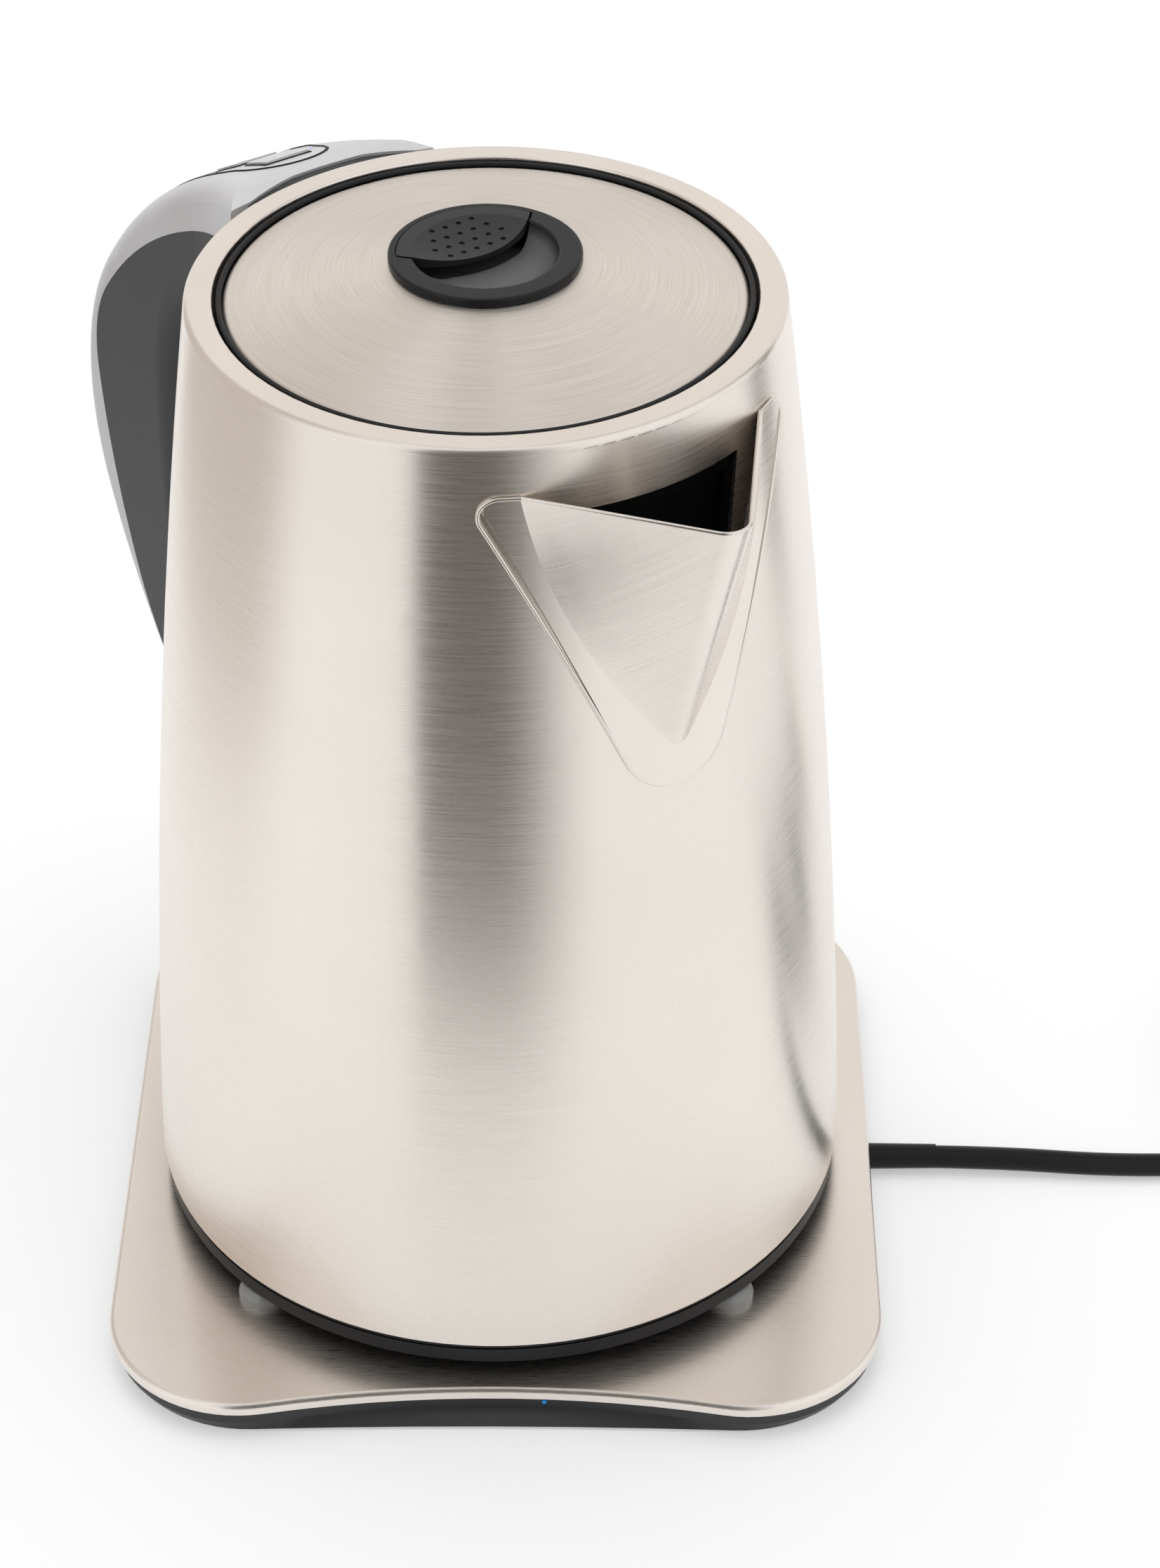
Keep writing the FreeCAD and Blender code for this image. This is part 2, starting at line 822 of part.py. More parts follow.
hinge_height = rim_top - s.hinge_drop
notch_top = rim_top - s.shell_wall
lip_notch = box("lip_notch", (-s.hinge_notch_half, s.mouth_radius - 2 * s.shell_wall, lip_bottom),
                (s.hinge_notch_half, lip_outer + s.running_gap, notch_top))
wire_hole_height = handle_end + s.wire_rise
wire_hole = cylinder("wire_hole", s.wire_radius + 4 * s.seat_gap, s.shell_bottom_radius,
                     (0, s.shell_bottom_radius / 2, wire_hole_height), "Y")
pour_opening = pour_prism("pour_opening", size(0), s.spout_root, s.spout_reach)
shell_open = cut("shell_open", shell_blank, pour_opening, lip_notch, wire_hole)

# Spout: folded sheet with a flange that follows the wall


def nose_outline(reach, half_angle, sheet_inside):
    """Plan of the folded nose: two flat sides joined by a round nose."""
    radius = s.spout_nose_radius - sheet_inside
    centre = reach - s.spout_nose_radius
    tx = radius * cosine(half_angle)
    ty = centre + radius * sine(half_angle)
    side = tx + (ty - s.spout_root) * tangent(half_angle)
    return (side, -s.spout_root), [
        line((tx, -ty)),
        arc((0, -centre - radius), (-tx, -ty)),
        line((-side, -s.spout_root)),
    ]


def nose(name, sheet_inside, top):
    return lofted(name, "XY_Plane", [
        (top,) + nose_outline(s.spout_reach, s.spout_top_angle, sheet_inside),
        (spout_top - s.spout_length,) + nose_outline(s.spout_foot_reach, s.spout_foot_angle, sheet_inside),
    ])


nose_outer = nose("nose_outer", size(0), spout_top)
nose_inner = nose("nose_inner", s.spout_sheet, spout_top)
wall_skin = wall_core("wall_skin", s.running_gap, rim_top)
flange_skin = wall_core("flange_skin", s.running_gap + s.flange_sheet, rim_top)
flange_low = spout_top - s.flange_length
flange_mid = flange_low + s.flange_foot_radius
flange_tx = s.flange_foot_radius * cosine(s.flange_lean)
flange_tz = flange_mid - s.flange_foot_radius * sine(s.flange_lean)
flange_side = s.flange_half_width - s.flange_corner * tangent(s.flange_lean)
flange_turn = s.flange_half_width - corner_share * s.flange_corner
flange_turn_height = spout_top - corner_share * s.flange_corner
flange_prism = padded("flange_prism", "XZ_Plane", (-s.flange_half_width + s.flange_corner, spout_top), [
    line((s.flange_half_width - s.flange_corner, spout_top)),
    arc((flange_turn, flange_turn_height), (flange_side, spout_top - s.flange_corner)),
    line((flange_tx, flange_tz)),
    arc((0, flange_low), (-flange_tx, flange_tz)),
    line((-flange_side, spout_top - s.flange_corner)),
    arc((-flange_turn, flange_turn_height), None),
], s.spout_reach - s.spout_root, lift=s.spout_root)
flange = common("flange", cut("flange_band", flange_skin, wall_skin), flange_prism)
nose_sheet = cut("nose_sheet", nose_outer, nose_inner, wall_skin)
node("spout", joined("spout", cut("flange_open", flange, nose_inner), nose_sheet))

# Water filter behind the pouring opening

filter_gap = s.shell_wall + s.seat_gap
filter_outer = wall_core("filter_outer", -filter_gap, rim_top)
filter_inner = wall_core("filter_inner", -filter_gap - s.filter_sheet, rim_top)
filter_band = cut("filter_band", filter_outer, filter_inner)
filter_plate = common("filter_plate", filter_band,
                      pour_prism("filter_prism", s.filter_margin, s.spout_root, s.spout_reach))
filter_window = pour_prism("filter_window", -s.filter_bar, s.spout_root, s.spout_reach)
node("filter_frame", cut("filter_frame", filter_plate, filter_window))
mesh_start = filter_gap + s.filter_sheet / 2
mesh_outer = wall_core("mesh_outer", -mesh_start, rim_top)
mesh_inner = wall_core("mesh_inner", -mesh_start - s.mesh_sheet, rim_top)
mesh_prism = pour_prism("mesh_prism", -s.filter_bar - s.seat_gap, s.spout_root, s.spout_reach)
node("filter_mesh", common("filter_mesh", cut("mesh_band", mesh_outer, mesh_inner), mesh_prism))

# Floor of the kettle with its heater, and the foot under it

inside_gap = s.shell_wall + s.seat_gap
floor_core = wall_core("floor_core", -inside_gap, rim_top)
floor_hollow = wall_core("floor_hollow", -inside_gap - s.floor_sheet, rim_top)
slab_radius = s.shell_bottom_radius + s.shell_middle_radius


def slice_of(name, core, low, high):
    """The stretch of a wall-shaped core between two heights."""
    return common(name, core, cylinder(name + "_slab", slab_radius, high - low, (0, 0, low)))


floor_disc = slice_of("floor_disc", floor_core, floor_under, floor_top)
floor_band = cut("floor_band", floor_core, floor_hollow)
floor_edge = slice_of("floor_edge", floor_band, floor_under, floor_top + s.floor_rim)
sensor_low = floor_under - s.sensor_height / 2
sensor_top = floor_top + s.sensor_height
sensor_hole = cylinder("sensor_hole", s.sensor_radius + s.seat_gap, sensor_top - sensor_low,
                       (s.sensor_across, s.sensor_spread, sensor_low))
node("heating_plate", cut("heating_plate", joined("floor_whole", floor_disc, floor_edge), sensor_hole))
node("temperature_sensor", cylinder("temperature_sensor", s.sensor_radius, sensor_top - sensor_low,
                                    (s.sensor_across, s.sensor_spread, sensor_low)))
seal_hollow = wall_core("seal_hollow", -inside_gap - 2 * s.floor_seal_sheet, rim_top)
node("floor_seal", slice_of("floor_seal", cut("seal_band", floor_core, seal_hollow),
                            floor_under - s.seat_gap - 2 * s.floor_seal_sheet, floor_under - s.seat_gap))
diffuser_top = floor_under - s.seat_gap
diffuser_under = diffuser_top - s.diffuser_sheet
node("heat_diffuser", cylinder("heat_diffuser", s.diffuser_radius, s.diffuser_sheet, (0, 0, diffuser_under)))
element_top = diffuser_under - s.seat_gap
element_half = s.element_width / 2
node("heating_element", turned("heating_element", (s.element_radius - element_half, element_top), [
    line((s.element_radius - element_half, element_top - s.element_height + element_half)),
    arc((s.element_radius, element_top - s.element_height),
        (s.element_radius + element_half, element_top - s.element_height + element_half)),
    line((s.element_radius + element_half, element_top)),
]))
cutouts = []
for number, side in enumerate((-1, 1)):
    spot = (side * s.cutout_spread, 0, element_top - s.cutout_height)
    cutouts.append(cylinder("thermal_cutout%d" % number, s.cutout_radius, s.cutout_height, spot))
node("thermal_cutouts", group("thermal_cutouts", cutouts))

socket_radius = s.hub_radius + s.socket_play
socket_outer = socket_radius + s.socket_wall
cover_under = foot_bottom + s.foot_sheet
cover_upper = cover_under + s.foot_sheet
flange_radius = socket_outer + 2 * s.screw_head_radius + s.screw_radius
flange_base = cover_upper + s.seat_gap
flange_upper = flange_base + s.foot_sheet * 1.5
socket_low = deck_top + s.shutter_height + s.shell_wall
socket_blank = turned("socket_blank", (socket_radius, socket_low), [
    line((socket_outer, socket_low)),
    line((socket_outer, flange_base)),
    line((flange_radius, flange_base)),
    line((flange_radius, flange_upper)),
    line((socket_outer, flange_upper)),
    line((socket_outer, s.socket_top)),
    line((s.control_radius, s.socket_top)),
    line((s.control_radius, element_top)),
    line((0, element_top)),
    line((0, s.socket_roof)),
    line((socket_radius, s.socket_roof)),
])
screw_circle = socket_outer + s.screw_head_radius + s.screw_radius
thirds = [90, 210, 330]


def on_circle(name, radius, low, high):
    """Three upright cylinders round the connector."""
    items = []
    for number, angle in enumerate(thirds):
        spot = (screw_circle * cosine(angle), screw_circle * sine(angle), low)
        items.append(cylinder("%s%d" % (name, number), radius, high - low, spot))
    return items


foot_taps = group("foot_taps", on_circle("foot_tap", s.screw_radius, flange_base, flange_upper))
node("kettle_connector", cut("kettle_connector", socket_blank, foot_taps))
blade_middle = (s.hub_slot_inner + s.hub_slot_outer) / 2
blade_low = s.hub_top - s.hub_slot_depth / 2
blade_top = s.socket_roof - s.seat_gap
blade_half = s.blade_sheet / 2
blade_ring = ring("blade_ring", blade_middle - blade_half, blade_middle + blade_half, blade_low, blade_top)
blade_pin = cylinder("blade_pin", s.blade_pin_radius, blade_top - blade_low, (0, 0, blade_low))
node("connector_blades", group("connector_blades", [blade_ring, blade_pin]))

foot_radius = s.shell_bottom_radius - s.foot_inset
ring_inner = foot_radius - s.foot_wall
spigot_radius = s.shell_bottom_radius - s.shell_wall - 4 * s.seat_gap
foot_top = shell_bottom - s.seat_gap
groove = s.foot_inset
groove_low = foot_top - 3 * groove
foot_blank = turned("foot_blank", (socket_outer + s.seat_gap, cover_under), [
    line((ring_inner, cover_under)),
    line((ring_inner, foot_bottom)),
    line((foot_radius - groove, foot_bottom)),
    line((foot_radius, foot_bottom + groove)),
    line((foot_radius, groove_low)),
    line((foot_radius - groove, groove_low)),
    line((foot_radius - groove, groove_low + groove)),
    line((foot_radius, groove_low + groove)),
    line((foot_radius, foot_top)),
    line((spigot_radius, foot_top)),
    line((spigot_radius - 2 * s.seat_gap, shell_bottom + s.foot_spigot)),
    line((spigot_radius - s.foot_sheet, shell_bottom + s.foot_spigot)),
    line((spigot_radius - s.foot_sheet, cover_upper)),
    line((socket_outer + s.seat_gap, cover_upper)),
])
foot_holes = on_circle("foot_hole", s.screw_radius + s.seat_gap, cover_under, cover_upper)
node("foot_cover", cut("foot_cover", foot_blank, group("foot_holes", foot_holes)))
foot_heads = on_circle("foot_head", s.screw_head_radius, cover_under - s.screw_head_height, cover_under)
foot_shanks = on_circle("foot_shank", s.screw_radius - s.running_gap, cover_under - s.screw_head_height,
                        flange_upper - s.seat_gap)
node("foot_screws", screws_of("foot_screws", foot_heads, foot_shanks))

# Mouth collar under the lip, and the lid hinge behind it

collar_top = lip_bottom - s.seat_gap
collar_blank = turned("collar_blank", (s.collar_radius, collar_top - s.collar_height), [
    line((s.collar_radius + s.shell_wall * 2, collar_top - s.collar_height)),
    line((s.collar_radius + s.shell_wall * 2, collar_top - s.collar_sheet)),
    line((slab_radius, collar_top - s.collar_sheet)),
    line((slab_radius, collar_top)),
    line((s.collar_radius, collar_top)),
])
node("mouth_collar", common("mouth_collar", collar_blank, floor_core))

ear_start = s.hinge_arm_half + s.tab_gap
ear_end = ear_start + s.hinge_ear
bracket_low = lip_bottom
bracket_parts = [box("bracket_foot", (-ear_end, s.hinge_reach - s.hinge_eye_radius, bracket_low),
                     (ear_end, s.hinge_reach + s.hinge_eye_radius, bracket_low + s.shell_wall))]
for number, low in enumerate((-ear_end, ear_start)):
    bracket_parts.append(box("bracket_ear%d" % number, (low, s.hinge_reach - s.hinge_ear_radius, bracket_low),
                             (low + s.hinge_ear, s.hinge_reach + s.hinge_ear_radius, hinge_height)))
    bracket_parts.append(cylinder("bracket_eye%d" % number, s.hinge_ear_radius, s.hinge_ear,
                                  (low, s.hinge_reach, hinge_height), "X"))
bracket_bore = cylinder("bracket_bore", s.hinge_pin_radius + s.running_gap, 2 * ear_end,
                        (-ear_end, s.hinge_reach, hinge_height), "X")
node("hinge_bracket", cut("hinge_bracket", joined("bracket", *bracket_parts), bracket_bore))
node("hinge_pin", cylinder("hinge_pin", s.hinge_pin_radius, 2 * ear_end,
                           (-ear_end, s.hinge_reach, hinge_height), "X"))

# Lid: steel cap, plastic body, bottom plate, seal and hinge arm

lid_edge = rim_top - s.lid_edge_drop
lid_top = lid_edge + s.lid_rise
lid_low = lid_edge - s.lid_skirt
crown_radius = (s.lid_radius + s.lid_hole_radius) / 2
crown_height = (lid_edge + lid_top) / 2 + s.lid_bulge
edge_round = s.lid_edge_round
node("lid_cap", turned("lid_cap", (s.lid_hole_radius, lid_top), [
    arc((crown_radius, crown_height), (s.lid_radius - edge_round, lid_edge + s.lid_sheet / 4)),
    flow((s.lid_radius, lid_edge - edge_round)),
    line((s.lid_radius, lid_low)),
    line((s.lid_radius - s.lid_sheet, lid_low)),
    line((s.lid_radius - s.lid_sheet, lid_edge - edge_round)),
    line((s.lid_radius - edge_round - s.lid_sheet / 2, lid_edge - s.lid_sheet / 2)),
    arc((crown_radius, crown_height - s.lid_sheet), (s.lid_hole_radius, lid_top - s.lid_sheet)),
]))

lid_body_radius = s.lid_radius - s.lid_body_inset
lid_body_low = lid_edge - s.lid_body_depth
lid_floor = lid_body_low + s.lid_floor_sheet
wall_inside = lid_body_radius - s.lid_body_wall
seal_low = lid_body_low + s.seal_lift
seal_top = seal_low + s.seal_height
groove_radius = lid_body_radius - s.seal_groove
lid_body_top = lid_edge - 1.5 * s.lid_sheet
lid_blank = turned("lid_blank", (0, lid_body_low), [
    line((lid_body_radius, lid_body_low)),
    line((lid_body_radius, seal_low - s.seat_gap)),
    line((groove_radius, seal_low - s.seat_gap)),
    line((groove_radius, seal_top + s.seat_gap)),
    line((lid_body_radius, seal_top + s.seat_gap)),
    line((lid_body_radius, lid_body_top)),
    line((wall_inside, lid_body_top)),
    line((wall_inside, lid_floor)),
    line((0, lid_floor)),
])
bolt_low = lid_body_top - s.lid_sheet - s.bolt_height
bolt_top = bolt_low + s.bolt_height
bolt_slot = box("bolt_slot", (-s.bolt_half_width - s.tab_gap, -lid_body_radius, bolt_low - s.tab_gap),
                (s.bolt_half_width + s.tab_gap, -wall_inside + s.lid_body_wall, bolt_top + s.tab_gap))
rail = box("bolt_rail", (-s.bolt_half_width - s.tab_gap, -wall_inside + s.lid_body_wall, lid_floor),
           (s.bolt_half_width + s.tab_gap, -wall_inside + 5 * s.lid_body_wall, bolt_low - s.tab_gap))
knob_base = lid_top + s.seat_gap
spigot_low = knob_base - s.knob_spigot
post_spots = [(i * s.post_across, j * s.post_along) for i in (-1, 1) for j in (-1, 1)]


def lid_posts(name, radius, low, high):
    """Four upright cylinders under the knob."""
    return [cylinder("%s%d" % (name, number), radius, high - low, (x, y, low))
            for number, (x, y) in enumerate(post_spots)]


posts = lid_posts("lid_post", s.boss_radius, lid_floor, spigot_low - s.seat_gap)
post_bores = group("post_bores", lid_posts("post_bore", s.screw_radius + s.seat_gap, lid_body_low,
                                           spigot_low - s.seat_gap))
arm_top = lid_body_low + s.arm_rise + s.arm_sheet
arm_slot = box("arm_slot", (-s.hinge_arm_half - s.seat_gap, wall_inside - s.lid_body_wall,
                            arm_top - s.arm_sheet - s.seat_gap),
               (s.hinge_arm_half + s.seat_gap, lid_body_radius, arm_top + s.seat_gap))
lid_solid = joined("lid_solid", lid_blank, rail, *posts)
node("lid_body", cut("lid_body", lid_solid, bolt_slot, post_bores, arm_slot))
node("lid_seal", turned("lid_seal", (groove_radius + s.seat_gap, seal_low), [
    line((s.collar_radius - s.seal_reach - s.seal_taper, seal_low)),
    line((s.collar_radius - s.seal_reach, seal_top)),
    line((groove_radius + s.seat_gap, seal_top)),
]))
screw_floor = lid_body_low - s.seat_gap
lid_heads = lid_posts("lid_head", s.screw_head_radius, screw_floor - s.screw_head_height, screw_floor)
lid_shanks = lid_posts("lid_shank", s.screw_radius - s.running_gap, screw_floor - s.screw_head_height,
                       spigot_low + s.screw_bite)
node("lid_screws", screws_of("lid_screws", lid_heads, lid_shanks))
bottom_radius = lid_body_radius - s.seat_gap
bottom_low = screw_floor - 2 * s.screw_head_height
bottom_top = screw_floor
head_pockets = group("head_pockets", lid_posts("head_pocket", s.screw_head_radius + s.seat_gap,
                                               screw_floor - s.screw_head_height - s.seat_gap, screw_floor))
node("lid_bottom", cut("lid_bottom", cylinder("bottom_blank", bottom_radius, bottom_top - bottom_low,
                                              (0, 0, bottom_low)), head_pockets))

arm_low = arm_top - s.arm_sheet
arm_neck = s.hinge_reach - s.hinge_eye_radius
arm_plate = padded("arm_plate", "YZ_Plane", (wall_inside - s.lid_body_wall + s.seat_gap, arm_low), [
    line((arm_neck, arm_low)),
    line((s.hinge_reach + s.hinge_pin_radius, hinge_height)),
    line((arm_neck, hinge_height - s.arm_sheet)),
    line((arm_neck - s.arm_sheet, arm_top)),
    line((wall_inside - s.lid_body_wall + s.seat_gap, arm_top)),
], 2 * s.hinge_arm_half, both=True)
arm_eye = cylinder("arm_eye", s.hinge_eye_radius, 2 * s.hinge_arm_half,
                   (-s.hinge_arm_half, s.hinge_reach, hinge_height), "X")
arm_bore = cylinder("arm_bore", s.hinge_pin_radius + s.running_gap, 2 * s.hinge_arm_half,
                    (-s.hinge_arm_half, s.hinge_reach, hinge_height), "X")
node("hinge_arm", cut("hinge_arm", joined("arm_solid", arm_plate, arm_eye), arm_bore))

# Knob with its finger bowl, the release tab in it and the latch bolt that the tab draws back

knob_top = knob_base + s.knob_height
bowl_floor = knob_top - s.bowl_depth
spigot_out = s.lid_hole_radius - s.seat_gap
edge = s.knob_edge_round
edge_cut = corner_share * edge
knob_blank = turned("knob_blank", (0, spigot_low), [
    line((spigot_out, spigot_low)),
    line((spigot_out, knob_base)),
    line((s.knob_radius, knob_base)),
    line((s.knob_radius, knob_top - edge)),
    arc((s.knob_radius - edge_cut, knob_top - edge_cut), (s.knob_radius - edge, knob_top)),
    line((s.bowl_radius + edge, knob_top)),
    arc((s.bowl_radius + edge_cut, knob_top - edge_cut), (s.bowl_radius, knob_top - edge)),
    arc((s.bowl_side_radius, bowl_floor + s.bowl_side_rise), (s.bowl_floor_radius, bowl_floor)),
    line((0, bowl_floor)),
])
seam_centre = s.tab_seam_radius + s.tab_seam_offset
pocket_floor = spigot_low + s.knob_floor


def tab_lens(name, grow, seam_grow, low, high):
    """The tab's plan, grown all round: where the knob's circle and the seam's circle cross."""
    disc = cylinder(name + "_disc", s.tab_radius + grow, high - low, (0, 0, low))
    seam = cylinder(name + "_seam", s.tab_seam_radius + seam_grow, high - low, (0, seam_centre, low))
    return common(name, disc, seam)


tab_top = knob_top + s.seat_gap
tab_under = tab_top - s.tab_sheet
pivot_height = knob_top - s.tab_pivot_drop
pivot_reach = s.tab_pivot_reach
lever_low = pivot_height - s.tab_lever_length
slot_half = s.tab_lever_half + s.tab_gap
lever_slot = box("lever_slot", (-slot_half, pivot_reach - s.tab_lever_sheet, spigot_low),
                 (slot_half, pivot_reach + s.latch_travel + s.tab_lever_sheet, pocket_floor))
ear_low = s.tab_boss_half + s.tab_gap
ear_top = pivot_height + s.tab_ear_rise
ears = []
for number, low in enumerate((-ear_low - s.tab_ear, ear_low)):
    ears.append(box("tab_ear%d" % number, (low, pivot_reach - s.tab_boss_radius, pocket_floor),
                    (low + s.tab_ear, pivot_reach + s.tab_boss_radius, ear_top)))
pin_length = 2 * (ear_low + s.tab_ear)
pin_spot = (-ear_low - s.tab_ear, pivot_reach, pivot_height)
ear_bore = cylinder("ear_bore", s.tab_pin_radius, pin_length, pin_spot, "X")
tab_pocket = tab_lens("tab_pocket", s.tab_gap, s.tab_seam_gap, pocket_floor, tab_top)
knob_pocketed = cut("knob_pocketed", knob_blank, tab_pocket)
tap_top = spigot_low + s.screw_bite + s.seat_gap
knob_taps = group("knob_taps", lid_posts("knob_tap", s.screw_radius, spigot_low, tap_top))
node("lid_knob", cut("lid_knob", joined("knob_eared", knob_pocketed, *ears), ear_bore, lever_slot, knob_taps))
node("tab_pin", cylinder("tab_pin", s.tab_pin_radius, pin_length, pin_spot, "X"))

tab_plate = tab_lens("tab_plate", size(0), size(0), tab_under, tab_top)
tab_boss = cylinder("tab_boss", s.tab_boss_radius, 2 * s.tab_boss_half,
                    (-s.tab_boss_half, pivot_reach, pivot_height), "X")
tab_web = box("tab_web", (-s.tab_boss_half, pivot_reach - s.tab_boss_radius, pivot_height),
              (s.tab_boss_half, pivot_reach + s.tab_boss_radius, tab_under))
tab_lever = box("tab_lever", (-s.tab_lever_half, pivot_reach - s.tab_lever_sheet / 2, lever_low),
                (s.tab_lever_half, pivot_reach + s.tab_lever_sheet / 2, pivot_height))
tab_bore = cylinder("tab_bore", s.tab_pin_radius + s.running_gap, pin_length, pin_spot, "X")
dish_floor = tab_top - s.tab_dish
tab_dish = turned("tab_dish", (0, dish_floor), [
    arc((s.bowl_radius / 2, dish_floor + s.tab_dish / 4), (s.bowl_radius, tab_top)),
    line((s.bowl_radius, tab_top + s.tab_dish)),
    line((0, tab_top + s.tab_dish)),
])
dimples = []
for row_number, count in enumerate((5, 6, 5, 4)):
    for column in range(count):
        across = (column - (count - 1) / 2) * s.dimple_pitch
        along = s.dimple_start + row_number * s.dimple_pitch
        out = (across * across + along * along) / (s.bowl_radius * s.bowl_radius)
        dimples.append(cylinder("dimple%d_%d" % (row_number, column), s.dimple_radius, s.tab_dish,
                                (across, along, dish_floor + s.tab_dish * out - s.dimple_radius / 2)))
node("release_tab", cut("release_tab", joined("tab_solid", tab_plate, tab_boss, tab_web, tab_lever), tab_bore,
                        tab_dish, group("dimples", dimples)))

bolt_tip = s.lid_radius + s.bolt_nose
bolt_end = pivot_reach + s.tab_lever_sheet + 2 * s.bolt_slot_play
hole_half = s.tab_lever_sheet / 2 + s.bolt_slot_play
bolt_blank = box("bolt_blank", (-s.bolt_half_width, -bolt_tip, bolt_low),
                 (s.bolt_half_width, bolt_end, bolt_top))
bolt_hole = box("bolt_hole", (-slot_half, pivot_reach - hole_half, bolt_low),
                (slot_half, pivot_reach + hole_half, bolt_top))
node("latch_bolt", cut("latch_bolt", bolt_blank, bolt_hole))

# Handle: silver outer shell and dark grip on one hollow loop, with a gasket against the steel

root = s.handle_root
handle_top = rim_top + s.handle_top_lift
handle_back = (s.handle_back_reach, handle_end + s.handle_back_rise)
handle_low = (s.handle_low_reach, handle_end + s.handle_low_rise)
handle_foot = (s.handle_foot_reach, handle_end)
gap_top = (s.gap_reach - s.gap_top_reach, handle_end + s.gap_top_rise)
gap_high = (s.gap_reach, handle_end + s.gap_high_rise)
gap_low = (s.gap_reach, handle_end + s.gap_low_rise)
gap_foot = (s.gap_reach - s.gap_foot_reach, handle_end + s.gap_foot_rise)
gap_slope = gap_foot[1] - s.gap_root_drop
far = s.handle_low_reach + 2 * s.handle_half_width


def arched(start, end, bulge):
    """The middle of an arc between two points that stands out from its chord by bulge."""
    along = end[0] - start[0]
    up = end[1] - start[1]
    chord = square_root(along * along + up * up)
    return ((start[0] + end[0]) / 2 - bulge * up / chord, (start[1] + end[1]) / 2 + bulge * along / chord)


crown = arched((root, handle_top), handle_back, s.handle_crown_bulge)


def toward(point, angle, distance):
    """A point moved by a distance in a direction of the side view."""
    return (point[0] + distance * cosine(angle), point[1] + distance * sine(angle))


def loop_outline(inset):
    """Side view of the handle, moved inward all round by inset, from its top end round to its lower end."""
    return toward((root, handle_top), 250, inset), [
        arc(toward(crown, 233, inset), toward(handle_back, 217, inset)),
        flow(toward(handle_low, 154, inset)),
        flow(toward(handle_foot, 126, inset)),
        line(toward((root, handle_end - s.handle_wall), 90, inset)),
        line(toward((root, gap_slope), 309, inset)),
        line(toward(gap_foot, 309, inset)),
        flow(toward(gap_low, 0, inset)),
        flow(toward(gap_high, 0, inset)),
        flow(toward(gap_top, 65, inset)),
        flow(toward((root, gap_top[1] + s.handle_wall), 90, inset)),
    ]


start, steps = loop_outline(size(0))
loop_blank = padded("loop_blank", "YZ_Plane", start, steps, 2 * s.handle_root_half_width, both=True)
start, steps = loop_outline(s.handle_wall)
loop_cavity = padded("loop_cavity", "YZ_Plane", start, steps, 2 * s.handle_cavity_half, both=True)
flare_mid = (root + s.handle_flare_end) / 2
loop_plan = padded("loop_plan", "XY_Plane", (s.handle_root_half_width, root - s.handle_half_width), [
    line((s.handle_root_half_width, root)),
    arc((s.handle_flare_half_width, flare_mid), (s.handle_half_width, s.handle_flare_end)),
    line((s.handle_half_width, far)),
    line((-s.handle_half_width, far)),
    line((-s.handle_half_width, s.handle_flare_end)),
    arc((-s.handle_flare_half_width, flare_mid), (-s.handle_root_half_width, root)),
    line((-s.handle_root_half_width, root - s.handle_half_width)),
], 2 * rim_top)
loop_solid = common("loop_solid", loop_blank, loop_plan)
doc.recompute()


def along_loop(edge, outer):
    """True for the long side edges of the handle, on its outer line or on its finger side."""
    box_of = edge.BoundBox
    if box_of.XMin * box_of.XMax < 0 or abs(box_of.XMin) < s.handle_cavity_half.value:
        return False
    middle_point = edge.valueAt((edge.FirstParameter + edge.LastParameter) / 2)
    side = middle_point.y > s.gap_reach.value + s.handle_wall.value
    high = middle_point.y > root.value + s.handle_wall.value
    top = middle_point.z > gap_top[1].value + s.handle_wall.value
    outward = middle_point.y - root.value - s.handle_round.value
    low = middle_point.z < gap_low[1].value and middle_point.z - handle_end.value < outward
    return high and (side or top or low) == outer


soft_loop = doc.addObject("Part::Fillet", "loop_rounded")
soft_loop.Base = loop_solid
soft_edges = []
for number, edge in enumerate(loop_solid.Shape.Edges, start=1):
    for outer, radius in ((True, s.handle_round.value), (False, s.grip_round.value)):
        if along_loop(edge, outer):
            soft_edges.append((number, radius, radius))
soft_loop.Edges = soft_edges
seat = wall_core("handle_seat", s.running_gap + s.gasket_sheet + s.running_gap, handle_top + s.handle_wall)


def root_cap(name, drop):
    """Everything under the crowned top of the handle's root, lowered by drop."""
    half = s.handle_root_half_width + s.handle_wall
    top = rim_top - drop
    return padded(name, "XZ_Plane", (-half, shell_bottom), [
        line((half, shell_bottom)),
        line((half, top - s.handle_cap_drop)),
        arc((0, top), (-half, top - s.handle_cap_drop)),
    ], 2 * far, both=True)


loop_capped = common("loop_capped", soft_loop, root_cap("handle_cap", size(0)))
loop_hollow = cut("loop_hollow", loop_capped, loop_cavity, seat)

seam_start = (root - s.handle_half_width, rim_top - s.seam_root_drop)
seam_back = (handle_back[0] - s.seam_back_inset, handle_back[1] - s.seam_back_drop)
seam_low = (handle_low[0] - s.seam_low_inset, handle_low[1] - s.seam_low_drop)
seam_middle = ((handle_back[0] + handle_low[0]) / 2 + s.seam_swell, (handle_back[1] + handle_low[1]) / 2)
shell_side = padded("shell_side", "YZ_Plane", seam_start, [
    arc(arched(seam_start, seam_back, s.seam_bulge), seam_back),
    flow(seam_middle),
    flow(seam_low),
    flow((root, handle_end + s.seam_foot_rise)),
    line((root, shell_bottom)),
    line((far, shell_bottom)),
    line((far, handle_top + s.handle_wall)),
    line((root - s.handle_half_width, handle_top + s.handle_wall)),
], 2 * s.handle_root_half_width, both=True)
shell_whole = common("shell_whole", loop_hollow, shell_side)
node("handle_grip", cut("handle_grip", loop_hollow, shell_side))
gasket_core = wall_core("gasket_core", s.running_gap + s.gasket_sheet, handle_top)
gasket_band = cut("gasket_band", gasket_core, wall_skin)
